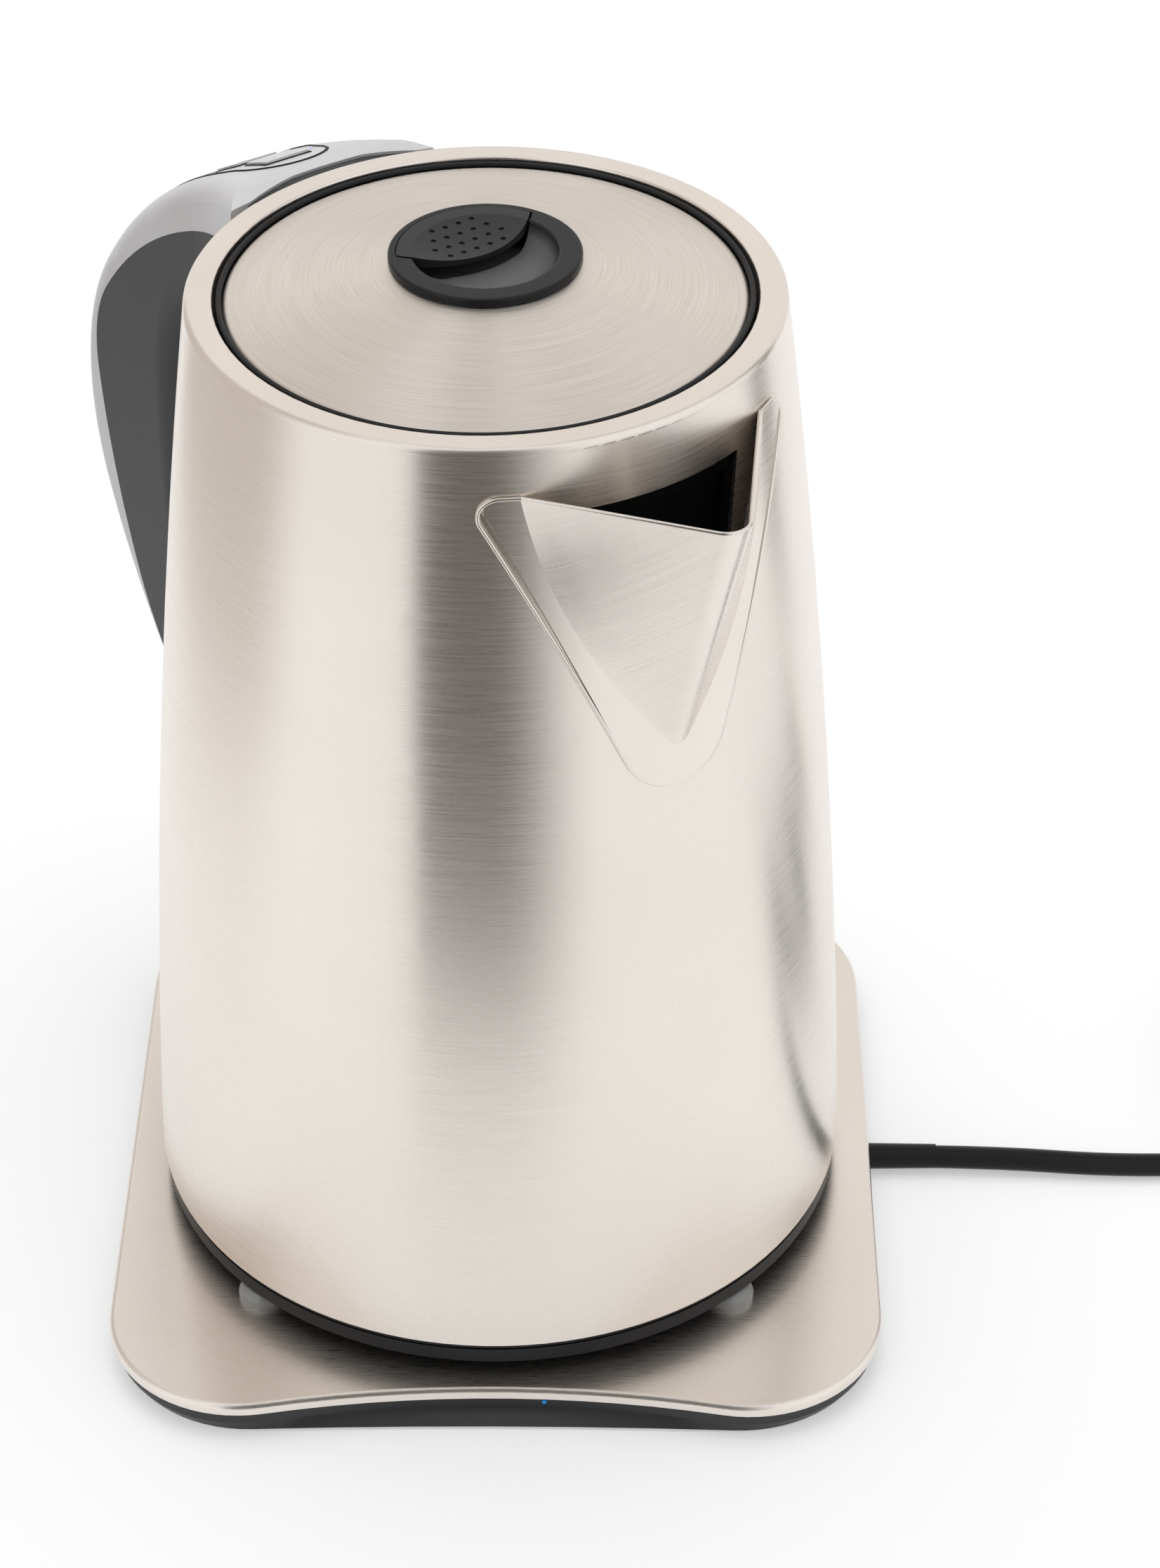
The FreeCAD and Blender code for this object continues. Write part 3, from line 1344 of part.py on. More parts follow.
start, steps = loop_outline(s.gasket_inset)
gasket_outline = padded("gasket_outline", "YZ_Plane", start, steps, 2 * s.handle_root_half_width, both=True)
gasket_plan = common("gasket_plan", gasket_outline, loop_plan)
gasket_below = common("gasket_below", gasket_band, root_cap("gasket_cap", s.gasket_inset))
gasket_solid = common("gasket_solid", gasket_below, gasket_plan)

# Brackets inside the handle's ends and the screws that hold them through the steel

screw_heights = [gap_top[1] + s.bracket_height, gap_slope + s.lower_screw_rise]
bracket_spans = [
    (gap_top[1] + 3 * s.handle_wall, gap_top[1] + 3 * s.handle_wall + s.bracket_height),
    (gap_slope - s.handle_wall, gap_slope + 2 * s.handle_wall),
]
bracket_half = s.handle_cavity_half - s.seat_gap
bore_length = s.screw_length + s.seat_gap
brackets = []
screws = []
screw_bores = []
for number, (height, (low, high)) in enumerate(zip(screw_heights, bracket_spans)):
    wall_at = wall_radius(height.value)
    reach = wall_at + s.gasket_sheet + s.bracket_depth
    block = box("bracket_block%d" % number, (-bracket_half, root - s.handle_half_width, low),
                (bracket_half, reach, high))
    brackets.append(cut("bracket%d" % number, block, seat))
    head_seat = size(math.sqrt((wall_at - s.shell_wall.value) ** 2
                               - (s.screw_across.value + s.screw_head_radius.value) ** 2)) - s.seat_gap
    for side in (-1, 1):
        tag = "%d_%d" % (number, side + 1)
        spot = (side * s.screw_across, head_seat - s.screw_head_height, height)
        head = cylinder("wall_head" + tag, s.screw_head_radius, s.screw_head_height, spot, "Y")
        shank = cylinder("wall_shank" + tag, s.screw_radius - s.running_gap, s.screw_length, spot, "Y")
        screws.append(joined("wall_screw" + tag, head, shank))
        screw_bores.append(cylinder("wall_bore" + tag, s.screw_radius, bore_length, spot, "Y"))
bore_group = group("wall_bores", screw_bores)
node("handle_screws", group("handle_screws", screws))
node("handle_brackets", cut("handle_brackets", group("brackets", brackets), bore_group))
node("handle_gasket", cut("handle_gasket", gasket_solid, bore_group, wire_hole))
node("body_shell", cut("body_shell", shell_open, bore_group))

# Control panel on top of the handle, its buttons, lights, switches and board

crown_centre = circle_centre(vector((root, handle_top)), vector(crown), vector(handle_back))
crown_size = (vector(crown) - crown_centre).Length
panel_middle = (s.panel_start + s.panel_end) / 2
middle_angle = math.acos((panel_middle.value - crown_centre.x) / crown_size)


def panel_frame(steps_along):
    """Placement on the panel's surface, Z outward, at a number of button steps down the handle."""
    angle = middle_angle - steps_along * s.button_pitch.value / crown_size
    spot = crown_centre + V(math.cos(angle), math.sin(angle), 0) * crown_size
    turn = FreeCAD.Rotation(V(1, 0, 0), math.degrees(angle) - 90)
    return FreeCAD.Placement(V(0, spot.x, spot.y), turn)


def button_box(name, grow, low, high, frame):
    """A block with a button's outline, grown all round, between two heights of the panel's frame."""
    half_width = s.button_half_width + grow
    half_length = s.button_length / 2 + grow
    return box(name, (-half_width, -half_length, low), (half_width, half_length, high), frame)


def panel_prism(name, grow):
    """The panel's plan, grown all round: round at the root, with a waist on each side."""
    wide = s.panel_half_width + grow
    narrow = wide - s.panel_waist
    between = wide - s.panel_waist / 2
    start = s.panel_start - grow
    waist_start = start + narrow
    waist_end = waist_start + s.panel_waist_length
    waist_middle = waist_start + s.panel_waist_length / 2
    end = s.panel_end + grow
    return padded(name, "XY_Plane", (-narrow, waist_start), [
        arc((0, start), (narrow, waist_start)),
        flow((between, waist_middle)),
        flow((wide, waist_end)),
        line((wide, end)),
        line((-wide, end)),
        line((-wide, waist_end)),
        flow((-between, waist_middle)),
        flow(None),
    ], rim_top - gap_high[1] + s.handle_wall, lift=gap_high[1])


panel_tool = panel_prism("panel_tool", size(0))
panel_hole = panel_prism("panel_hole", s.panel_gap)
node("handle_shell", cut("handle_shell", shell_whole, panel_hole))
panel_blank = common("panel_blank", shell_whole, panel_tool)
flange_over = -s.handle_wall - s.button_play
flange_under = s.handle_wall + s.button_play + s.button_flange_sheet
switch_top = flange_under + s.button_travel + s.seat_gap
button_holes = []
light_holes = []
lights = []
switches = []
board_frame = panel_frame(0)
for number, (label, step) in enumerate((("start_button", -1), ("temperature_button", 0), ("hold_button", 1))):
    frame = panel_frame(step)
    button_holes.append(button_box("button_hole%d" % number, s.button_play, -2 * s.handle_wall,
                                   s.handle_wall, frame))
    button_cap = button_box("button_cap%d" % number, size(0), flange_over, s.button_proud, frame)
    button_rim = button_box("button_rim%d" % number, s.button_flange, -flange_under, flange_over, frame)
    node(label, joined(label, button_cap, button_rim))
    lights.append(cylinder("light%d" % number, s.light_radius, s.handle_wall,
                           (s.light_offset, 0, -s.handle_wall), frame=frame))
    light_holes.append(cylinder("light_hole%d" % number, s.light_radius + s.seat_gap, 3 * s.handle_wall,
                                (s.light_offset, 0, -2 * s.handle_wall), frame=frame))
    drop = switch_top + abs(step) * s.switch_drop
    along = -step * s.button_pitch
    switches.append(box("switch%d" % number, (-s.switch_half, -along - s.switch_half, -s.board_depth),
                        (s.switch_half, -along + s.switch_half, -drop), board_frame))
node("indicator_lights", group("indicator_lights", lights))
node("control_panel", cut("control_panel", panel_blank, group("button_holes", button_holes),
                          group("light_holes", light_holes)))
node("button_switches", group("button_switches", switches))
board_edge = s.handle_cavity_half - s.seat_gap
node("control_board", box("control_board",
                          (-board_edge, -s.board_half_length, -s.board_depth - s.board_sheet),
                          (board_edge, s.board_half_length, -s.board_depth), board_frame))

# Tubes: routed wires and the mains cord

bend_share = 0.45

def swept(path, radius):
    """A round tube along a smooth wire."""
    edge = path.OrderedEdges[0]
    spot = edge.valueAt(edge.FirstParameter)
    direction = edge.tangentAt(edge.FirstParameter)
    if edge.Orientation == "Reversed":
        spot = edge.valueAt(edge.LastParameter)
        direction = -edge.tangentAt(edge.LastParameter)
    profile = Part.Wire(Part.makeCircle(radius, spot, direction))
    return path.makePipeShell([profile], True, False)


def routed(name, points, radius):
    """A tube on straight runs joined by tangent arcs, its volume compared with section times length."""
    edges = []
    here = points[0]
    for before, corner, after in zip(points, points[1:], points[2:]):
        run_in = corner - before
        run_out = after - corner
        reach = bend_share * min(run_in.Length, run_out.Length)
        half_turn = run_in.getAngle(run_out) / 2
        bend = reach / math.tan(half_turn)
        print("%s bend radius %.1f mm" % (name, bend))
        first = corner - V(run_in).normalize() * reach
        last = corner + V(run_out).normalize() * reach
        inward = (V(run_out).normalize() - V(run_in).normalize()).normalize()
        via = corner + inward * (bend / math.cos(half_turn) - bend)
        edges.append(Part.LineSegment(here, first).toShape())
        edges.append(Part.Arc(first, via, last).toShape())
        here = last
    edges.append(Part.LineSegment(here, points[-1]).toShape())
    path = Part.Wire(edges)
    tube = swept(path, radius)
    expected = math.pi * radius ** 2 * path.Length
    print("%s length %.1f mm, volume ratio %.4f" % (name, path.Length, tube.Volume / expected))
    return tube


wire_route = [V(0, y, z) for y, z in (
    (crown[0].value + s.handle_wall.value, handle_back[1].value + 4 * s.handle_wall.value),
    (seam_low[0].value - s.handle_wall.value, gap_high[1].value),
    (seam_low[0].value - s.handle_wall.value, gap_low[1].value),
    (gap_foot[0].value + 3 * s.handle_wall.value, gap_foot[1].value - 3 * s.handle_wall.value),
    (s.handle_foot_reach.value + 2 * s.handle_wall.value, wire_hole_height.value),
    (s.sensor_spread.value, wire_hole_height.value),
)]
node("handle_wires", shaped("handle_wires", routed("handle_wires", wire_route, s.wire_radius.value)))

# Cord outlet in the base

outlet = s.plate_half_width - s.housing_inset
jacket_start = outlet - s.housing_wall + s.seat_gap
relief_end = outlet + s.relief_outside
exit_height = s.cord_exit_height
bore_radius = s.cord_radius + s.running_gap
outlet_frame = BASE.multiply(FreeCAD.Placement(V(0, 0, exit_height.value), AXES["X"]))
node("strain_relief", turned("strain_relief", (bore_radius, jacket_start), [
    line((s.relief_radius, jacket_start)),
    line((s.relief_radius, outlet)),
    line((bore_radius + 2 * s.running_gap, relief_end)),
    line((bore_radius, relief_end)),
], outlet_frame))
wire_start = s.hub_radius + s.seat_gap
wire_end = outlet - s.housing_wall - s.seat_gap


def base_wires(name, radius):
    """Three straight wires side by side from the connector to the cord outlet."""
    return [cylinder("%s%d" % (name, number), radius, wire_end - wire_start,
                     (wire_start, side * s.base_wire_pitch, exit_height), "X", BASE)
            for number, side in enumerate((-1, 0, 1))]


node("base_wires", group("base_wires", base_wires("base_wire", s.base_wire_radius)))
clamp_bores = base_wires("clamp_bore", s.base_wire_radius + s.running_gap)
clamp_start = wire_end - 2 * s.clamp_length
clamp_half = 2.5 * s.base_wire_pitch
clamp_block = box("clamp_block", (clamp_start, -clamp_half, cover_top + s.seat_gap),
                  (clamp_start + s.clamp_length, clamp_half, deck_under - s.seat_gap), BASE)
node("cord_clamp", cut("cord_clamp", clamp_block, group("clamp_bores", clamp_bores)))

# Mains cord: the free stretch on the table, then the put-away length in a coil beside the base

coil_low = s.cord_radius.value + s.tie_sheet.value + s.seat_gap.value
coil_centre = V(s.coil_centre_along.value, s.coil_centre_across.value, 0)
coil_start = coil_centre + V(0, -s.coil_radius.value, coil_low)
cord_route = [
    V(jacket_start.value, 0, exit_height.value),
    V(108, 0, exit_height.value),
    V(139, -2.4, s.cord_radius.value),
    V(168, -1, s.cord_radius.value),
    coil_start,
]
node("power_cord", shaped("power_cord", routed("power_cord", cord_route, s.cord_radius.value), BASE))


def coil_point(turn):
    """The coil's line: inward on the table, up through half a turn, and outward on top."""
    pitch = s.coil_pitch.value
    inward = s.coil_turns_in.value
    small = s.coil_radius.value - pitch * inward
    rise = 0.0
    radius = s.coil_radius.value - pitch * turn
    if turn > inward:
        climb = min(turn - inward, 0.5)
        radius = small - pitch * climb + 2 * pitch * climb ** 2
        rise = s.coil_layer.value * (1 - math.cos(2 * math.pi * climb)) / 2
        radius += pitch * (turn - inward - climb)
    angle = 2 * math.pi * (turn - 0.25)
    return coil_centre + V(radius * math.cos(angle), radius * math.sin(angle), coil_low + rise)


def coil_heading(turn):
    small_step = 0.001
    return (coil_point(turn + small_step) - coil_point(turn - small_step)).normalize()


def arc_from(start, heading, end):
    """The arc that leaves start along heading and reaches end."""
    chord = end - start
    turn = heading.getAngle(chord)
    side = (heading - chord * (heading.dot(chord) / chord.dot(chord))).normalize()
    via = (start + end) * 0.5 + side * (chord.Length / 2 * math.tan(turn / 2))
    return Part.Arc(start, via, end).toShape()


def biarc(start, start_heading, end, end_heading):
    """Two arcs that join two points smoothly with given headings."""
    chord = end - start
    both = start_heading + end_heading
    spread = 2 * (1 - start_heading.dot(end_heading))
    reach = (-chord.dot(both) + math.sqrt(chord.dot(both) ** 2 + spread * chord.dot(chord))) / spread
    first = start + start_heading * reach
    last = end - end_heading * reach
    joint = (first + last) * 0.5
    return [arc_from(start, start_heading, joint), arc_from(joint, (last - first).normalize(), end)]


quarter_turns = int(round(4 * (s.coil_turns_in.value + 0.5 + s.coil_turns_out.value)))
coil_edges = []
here = coil_point(0)
heading = (coil_start - cord_route[-2]).normalize()
for quarter in range(1, quarter_turns + 1):
    goal = coil_point(quarter / 4)
    next_heading = V(0, 1, 0) if quarter == quarter_turns else coil_heading(quarter / 4)
    coil_edges += biarc(here, heading, goal, next_heading)
    here = goal
    heading = next_heading
plug_start = here + V(0, s.coil_tail.value, 0)
coil_edges.append(Part.LineSegment(here, plug_start).toShape())
coil_path = Part.Wire(coil_edges)
coil_tube = swept(coil_path, s.cord_radius.value)
expected = math.pi * s.cord_radius.value ** 2 * coil_path.Length
print("cord_coil length %.1f mm, volume ratio %.4f" % (coil_path.Length, coil_tube.Volume / expected))
sample_count = 500
samples = coil_path.discretize(Number=sample_count)
spacing = coil_path.Length / (sample_count - 1)
apart = int(8 * s.cord_radius.value / spacing)
least = min((a - b).Length for i, a in enumerate(samples) for b in samples[i + apart:])
print("cord_coil least gap to itself %.2f mm" % (least - 2 * s.cord_radius.value))
node("cord_coil", shaped("cord_coil", coil_tube, BASE))

# Tie round the coil, and the plug beside it

coil_small = s.coil_radius - s.coil_pitch * s.coil_turns_in
tie_in = s.coil_centre_across + coil_small - s.cord_radius - 6 * s.seat_gap
tie_out = s.coil_centre_across + s.coil_radius - s.coil_pitch / 2 + s.cord_radius + 4 * s.seat_gap
tie_top = 2 * s.cord_radius + s.coil_layer + s.tie_sheet + 3 * s.seat_gap
tie_low = s.coil_centre_along - s.tie_width / 2
tie_high = s.coil_centre_along + s.tie_width / 2
tie_outer = box("tie_outer", (tie_low, tie_in - s.tie_sheet, 0),
                (tie_high, tie_out + s.tie_sheet, tie_top + s.tie_sheet), BASE)
tie_inner = box("tie_inner", (tie_low, tie_in, s.tie_sheet), (tie_high, tie_out, tie_top), BASE)
node("cord_tie", cut("cord_tie", tie_outer, tie_inner))

plug_frame = BASE.multiply(FreeCAD.Placement(V(plug_start.x, plug_start.y, 0), FreeCAD.Rotation()))
plug_axis = s.cord_radius + s.tie_sheet + s.seat_gap + s.coil_layer
plug_neck = s.plug_half_width / 2
plug_block = padded("plug_block", "XY_Plane", (-plug_neck, 0), [
    line((plug_neck, 0)),
    line((s.plug_half_width, s.plug_neck_length)),
    line((s.plug_half_width, s.plug_length)),
    line((-s.plug_half_width, s.plug_length)),
    line((-s.plug_half_width, s.plug_neck_length)),
], 2 * plug_axis, frame=plug_frame)
rounded(plug_block, s.plug_round, lambda edge: True)
axis_frame = plug_frame.multiply(FreeCAD.Placement(V(0, 0, plug_axis.value), AXES["Y"]))
plug_relief = turned("plug_relief", (bore_radius, -s.plug_relief), [
    line((bore_radius + 4 * s.seat_gap, -s.plug_relief)),
    line((plug_neck - s.shell_wall, size(0))),
    line((bore_radius, size(0))),
], axis_frame)
node("plug_body", joined("plug_body", plug_block, plug_relief))
pins = []
for number, side in enumerate((-1, 1)):
    across = side * s.plug_pin_spread
    pins.append(box("plug_blade%d" % number, (across - s.plug_blade_half, s.plug_length, plug_axis),
                    (across + s.plug_blade_half, s.plug_length + s.plug_pin_length,
                     plug_axis + s.plug_pin_spread), plug_frame))
pins.append(cylinder("plug_earth", s.blade_pin_radius, s.plug_pin_length,
                     (0, s.plug_length, plug_axis - s.plug_pin_spread), "Y", plug_frame))
node("plug_pins", group("plug_pins", pins))

# Check every piece and write it out

doc.recompute()
for item in doc.Objects:
    if "Invalid" in item.State or "Error" in item.State:
        raise RuntimeError("%s could not be built: %s" % (item.Name, item.getStatusString()))
os.makedirs("parts", exist_ok=True)
for label, item in nodes.items():
    if item.Shape.isNull() or not item.Shape.isValid() or item.Shape.Volume <= 0:
        raise RuntimeError("%s has no sound shape" % label)
    item.Shape.exportStep("parts/%s.step" % label)
    print("%s: %d solid, %.1f mm3" % (label, len(item.Shape.Solids), item.Shape.Volume))
print("%d nodes" % len(nodes))
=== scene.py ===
import math

import bmesh
import bpy
from mathutils import Euler, Matrix, Vector


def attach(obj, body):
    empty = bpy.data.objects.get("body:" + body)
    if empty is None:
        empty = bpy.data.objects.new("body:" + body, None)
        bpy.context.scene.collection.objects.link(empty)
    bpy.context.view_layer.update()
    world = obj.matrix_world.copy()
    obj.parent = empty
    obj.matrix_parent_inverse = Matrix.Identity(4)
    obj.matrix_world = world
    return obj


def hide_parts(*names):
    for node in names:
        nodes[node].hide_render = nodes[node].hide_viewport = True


# Looks of the electric kettle on its power base. All lengths are in metres, in the model's own frame.

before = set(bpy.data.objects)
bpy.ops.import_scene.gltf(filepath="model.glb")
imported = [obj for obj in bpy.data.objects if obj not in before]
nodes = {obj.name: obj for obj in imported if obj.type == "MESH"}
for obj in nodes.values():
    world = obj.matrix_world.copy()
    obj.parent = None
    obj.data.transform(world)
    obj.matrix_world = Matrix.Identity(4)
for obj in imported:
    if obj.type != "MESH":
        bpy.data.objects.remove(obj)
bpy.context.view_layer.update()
scene = bpy.context.scene
scene.view_settings.view_transform = "Standard"

BASE_TURN = math.radians(-34)
BASE = Matrix.Rotation(BASE_TURN, 4, "Z")

# Camera

CAMERA_SPOT = (-0.360129, -0.573576, 0.619754)
CAMERA_TURN = [math.radians(angle) for angle in (52.9224, 0.0828, -33.6983)]
CAMERA_LENS = 92.869
CAMERA_SENSOR = 36
CAMERA_NEAR = 0.01

camera_data = bpy.data.cameras.new("camera")
camera_data.sensor_width = CAMERA_SENSOR
camera_data.lens = CAMERA_LENS
camera_data.clip_start = CAMERA_NEAR
camera = bpy.data.objects.new("camera", camera_data)
camera.location = CAMERA_SPOT
camera.rotation_euler = Euler(CAMERA_TURN)
scene.collection.objects.link(camera)
scene.camera = camera


# Node helpers


def new_material(name, color, roughness, metallic=0.0):
    material = bpy.data.materials.new(name)
    material.use_nodes = True
    tree = material.node_tree
    shader = tree.nodes["Principled BSDF"]
    shader.inputs["Base Color"].default_value = (*color, 1)
    shader.inputs["Roughness"].default_value = roughness
    shader.inputs["Metallic"].default_value = metallic
    return material, tree, shader


def object_coords(tree):
    return tree.nodes.new("ShaderNodeTexCoord").outputs["Object"]


def feed(tree, sockets, values):
    """Set each socket to its number, or link it to its node output."""
    for socket, value in zip(sockets, values):
        if isinstance(value, (int, float)):
            socket.default_value = value
        else:
            tree.links.new(value, socket)


def math_node(tree, operation, first, second=0.0):
    item = tree.nodes.new("ShaderNodeMath")
    item.operation = operation
    feed(tree, item.inputs, (first, second))
    return item.outputs[0]


def vector_of(tree, x, y, z):
    item = tree.nodes.new("ShaderNodeCombineXYZ")
    feed(tree, item.inputs, (x, y, z))
    return item.outputs[0]


def weighted(tree, first, second, share):
    """Share of the first value and the rest of the second."""
    part = math_node(tree, "MULTIPLY", first, share)
    rest = math_node(tree, "MULTIPLY", second, 1 - share)
    return math_node(tree, "ADD", part, rest)


LEAST_SQUARE = 1e-8


def axis_parts(tree, place):
    """X, Y and Z of a place, and its distance from the kettle's axis."""
    split = tree.nodes.new("ShaderNodeSeparateXYZ")
    tree.links.new(place, split.inputs[0])
    x, y, z = split.outputs
    square = math_node(tree, "ADD", math_node(tree, "MULTIPLY", x, x), math_node(tree, "MULTIPLY", y, y))
    radius = math_node(tree, "SQRT", math_node(tree, "MAXIMUM", square, LEAST_SQUARE))
    return x, y, z, radius


def noise(tree, vector, scale, detail=2.0, rough=0.5):
    item = tree.nodes.new("ShaderNodeTexNoise")
    item.inputs["Scale"].default_value = scale
    item.inputs["Detail"].default_value = detail
    item.inputs["Roughness"].default_value = rough
    tree.links.new(vector, item.inputs["Vector"])
    return item.outputs["Fac"]


def remap(tree, value, low, high, from_low=0.3, from_high=0.7):
    item = tree.nodes.new("ShaderNodeMapRange")
    item.inputs["From Min"].default_value = from_low
    item.inputs["From Max"].default_value = from_high
    item.inputs["To Min"].default_value = low
    item.inputs["To Max"].default_value = high
    tree.links.new(value, item.inputs["Value"])
    return item.outputs["Result"]


def two_colors(tree, value, first, second):
    item = tree.nodes.new("ShaderNodeMix")
    item.data_type = "RGBA"
    item.inputs["A"].default_value = (*first, 1)
    item.inputs["B"].default_value = (*second, 1)
    tree.links.new(value, item.inputs["Factor"])
    return item.outputs["Result"]


def bump(tree, shader, height, strength, distance):
    item = tree.nodes.new("ShaderNodeBump")
    item.inputs["Strength"].default_value = strength
    item.inputs["Distance"].default_value = distance
    tree.links.new(height, item.inputs["Height"])
    tree.links.new(item.outputs["Normal"], shader.inputs["Normal"])


# Steel finishes

STEEL = (0.86, 0.81, 0.76)
STEEL_SHADE = (0.81, 0.75, 0.695)
LID_SHADE = (0.67, 0.62, 0.57)
BRUSH_SPREAD = 0.05
BRUSH_BUMP = 0.2
BRUSH_DEPTH = 0.00002
SMUDGE_SCALE = 22.0
FINE_NOISE = {"detail": 3.0, "rough": 0.6}


def brushed(name, strokes, across, roughness, anisotropy, tangent, contrast=0.5, shade=STEEL_SHADE):
    """Brushed steel: strokes is the stretched coordinate, tangent the way that reflections spread."""
    material, tree, shader = new_material(name, STEEL, roughness, metallic=1.0)
    place = object_coords(tree)
    vector = strokes(tree, place)
    fine = noise(tree, vector, across, **FINE_NOISE)
    smudge = noise(tree, place, SMUDGE_SCALE)
    rougher = remap(tree, fine, roughness - BRUSH_SPREAD, roughness + BRUSH_SPREAD)
    tree.links.new(rougher, shader.inputs["Roughness"])
    blotch = weighted(tree, fine, smudge, contrast)
    tone = two_colors(tree, remap(tree, blotch, 0.0, 1.0), shade, STEEL)
    tree.links.new(tone, shader.inputs["Base Color"])
    bump(tree, shader, fine, BRUSH_BUMP, BRUSH_DEPTH)
    shader.inputs["Anisotropic"].default_value = anisotropy
    tangent(tree, shader)
    return material


STROKE_SHARE = 0.0009
STROKE_LENGTH = 45
QUARTER_TURN = 0.25


def round_strokes(tree, place):
    """Strokes round the Z axis: long along the turn, fine along height and radius."""
    x, y, z, radius = axis_parts(tree, place)
    turn_x = math_node(tree, "MULTIPLY", math_node(tree, "DIVIDE", x, radius), STROKE_SHARE)
    turn_y = math_node(tree, "MULTIPLY", math_node(tree, "DIVIDE", y, radius), STROKE_SHARE)
    return vector_of(tree, turn_x, turn_y, math_node(tree, "SUBTRACT", radius, z))


def straight_strokes(tree, place):
    """Strokes along the base's own X direction."""
    mapping = tree.nodes.new("ShaderNodeMapping")
    mapping.vector_type = "TEXTURE"
    mapping.inputs["Rotation"].default_value = (0, 0, BASE_TURN)
    mapping.inputs["Scale"].default_value = (STROKE_LENGTH, 1, 1)
    tree.links.new(place, mapping.inputs["Vector"])
    return mapping.outputs["Vector"]


def radial_tangent(tree, shader):
    """Reflections spread across strokes that run round the Z axis."""
    item = tree.nodes.new("ShaderNodeTangent")
    item.direction_type = "RADIAL"
    item.axis = "Z"
    tree.links.new(item.outputs[0], shader.inputs["Tangent"])
    shader.inputs["Anisotropic Rotation"].default_value = QUARTER_TURN


def base_tangent(tree, shader):
    """Reflections spread across strokes that run along the base."""
    turn = tree.nodes.new("ShaderNodeVectorTransform")
    turn.vector_type = "VECTOR"
    turn.convert_from = "OBJECT"
    turn.convert_to = "WORLD"
    turn.inputs[0].default_value = (-math.sin(BASE_TURN), math.cos(BASE_TURN), 0)
    tree.links.new(turn.outputs[0], shader.inputs["Tangent"])


body_steel = brushed("body_steel", round_strokes, 4200.0, 0.29, 0.6, radial_tangent)
spout_steel = brushed("spout_steel", round_strokes, 4200.0, 0.27, 0.5, radial_tangent, contrast=0.4)
lid_steel = brushed("lid_steel", round_strokes, 2600.0, 0.34, 0.9, radial_tangent,
                    contrast=0.8, shade=LID_SHADE)
plate_steel = brushed("plate_steel", straight_strokes, 7200.0, 0.3, 0.6, base_tangent, contrast=0.35)


# Plastics, rubber and metals of the other pieces

BROAD_SCALE = 30.0
COLOR_SPREAD = 0.12
GLOSS_SPREAD = 0.05
GRAIN_SHARE = 0.6
GRAIN_BUMP = 0.5


def moulded(name, color, roughness, grain=0.0004, depth=0.00002, metallic=0.0, sheen=0.5):
    """Moulded surface with fine grain, and slight unevenness of colour and gloss."""
    material, tree, shader = new_material(name, color, roughness, metallic)
    place = object_coords(tree)
    fine = noise(tree, place, 1 / grain, **FINE_NOISE)
    broad = noise(tree, place, BROAD_SCALE)
    darker = [channel * (1 - COLOR_SPREAD) for channel in color]
    tone = two_colors(tree, remap(tree, broad, 0.0, 1.0), darker, color)
    tree.links.new(tone, shader.inputs["Base Color"])
    uneven = weighted(tree, fine, broad, GRAIN_SHARE)
    gloss = remap(tree, uneven, roughness - GLOSS_SPREAD, roughness + GLOSS_SPREAD)
    tree.links.new(gloss, shader.inputs["Roughness"])
    bump(tree, shader, fine, GRAIN_BUMP, depth)
    shader.inputs["Specular IOR Level"].default_value = sheen
    return material


charcoal = moulded("charcoal_plastic", (0.058, 0.058, 0.060), 0.55, sheen=0.35)
foot_black = moulded("foot_plastic", (0.012, 0.012, 0.013), 0.36, sheen=0.22)
housing_grey = moulded("housing_plastic", (0.038, 0.038, 0.041), 0.42, sheen=0.4)
satin_black = moulded("satin_black", (0.018, 0.018, 0.020), 0.3, grain=0.0003, sheen=0.25)
black_plastic = moulded("black_plastic", (0.010, 0.010, 0.011), 0.5, sheen=0.25)
silver = moulded("silver_paint", (0.60, 0.60, 0.61), 0.36, grain=0.00012, depth=0.000006, metallic=0.25)
panel_grey = moulded("panel_grey", (0.62, 0.62, 0.63), 0.38, grain=0.0002, depth=0.00001, metallic=0.2)
rubber = moulded("black_rubber", (0.006, 0.006, 0.007), 0.24, grain=0.0006, sheen=0.22)
gasket_rubber = moulded("gasket_rubber", (0.03, 0.03, 0.032), 0.55)
# Painted shade: near-black beads in the gaps round the lid and the control panel, standing in for the shade
# in those gaps.
gap_shade_black = moulded("gap_shade_black", (0.010, 0.010, 0.011), 0.5, sheen=0.25)
# Partly painted shade: the filter is dark plastic, made near black so that the inside of the spout opening
# reads as shade.
filter_dark_and_shade = moulded("filter_dark_and_shade", (0.003, 0.003, 0.003), 0.6, sheen=0.1)
clear_pad = moulded("clear_silicone", (0.26, 0.26, 0.255), 0.16, depth=0.00001)
edge_steel = moulded("polished_edge", STEEL, 0.2, metallic=1.0)
# Painted shade: the hinge's steel is made near black so that it reads as the shade at the back of the lid's
# gap.
hinge_painted_shade = moulded("painted_shade_steel", (0.015, 0.015, 0.016), 0.5)
fixing_steel = moulded("fixing_steel", (0.55, 0.55, 0.56), 0.35, metallic=1.0)
heater_steel = moulded("heater_steel", (0.62, 0.61, 0.60), 0.32, metallic=1.0)
aluminium = moulded("raw_aluminium", (0.70, 0.71, 0.72), 0.45, metallic=1.0)
brass = moulded("contact_brass", (0.72, 0.56, 0.30), 0.3, metallic=1.0)
board_green = moulded("board_green", (0.02, 0.12, 0.05), 0.4)
blue_lens = moulded("blue_lens", (0.01, 0.30, 0.85), 0.2, depth=0.000004)
tie_fabric = moulded("tie_fabric", (0.02, 0.02, 0.02), 0.85, grain=0.0005, depth=0.0001)

# Lid knob

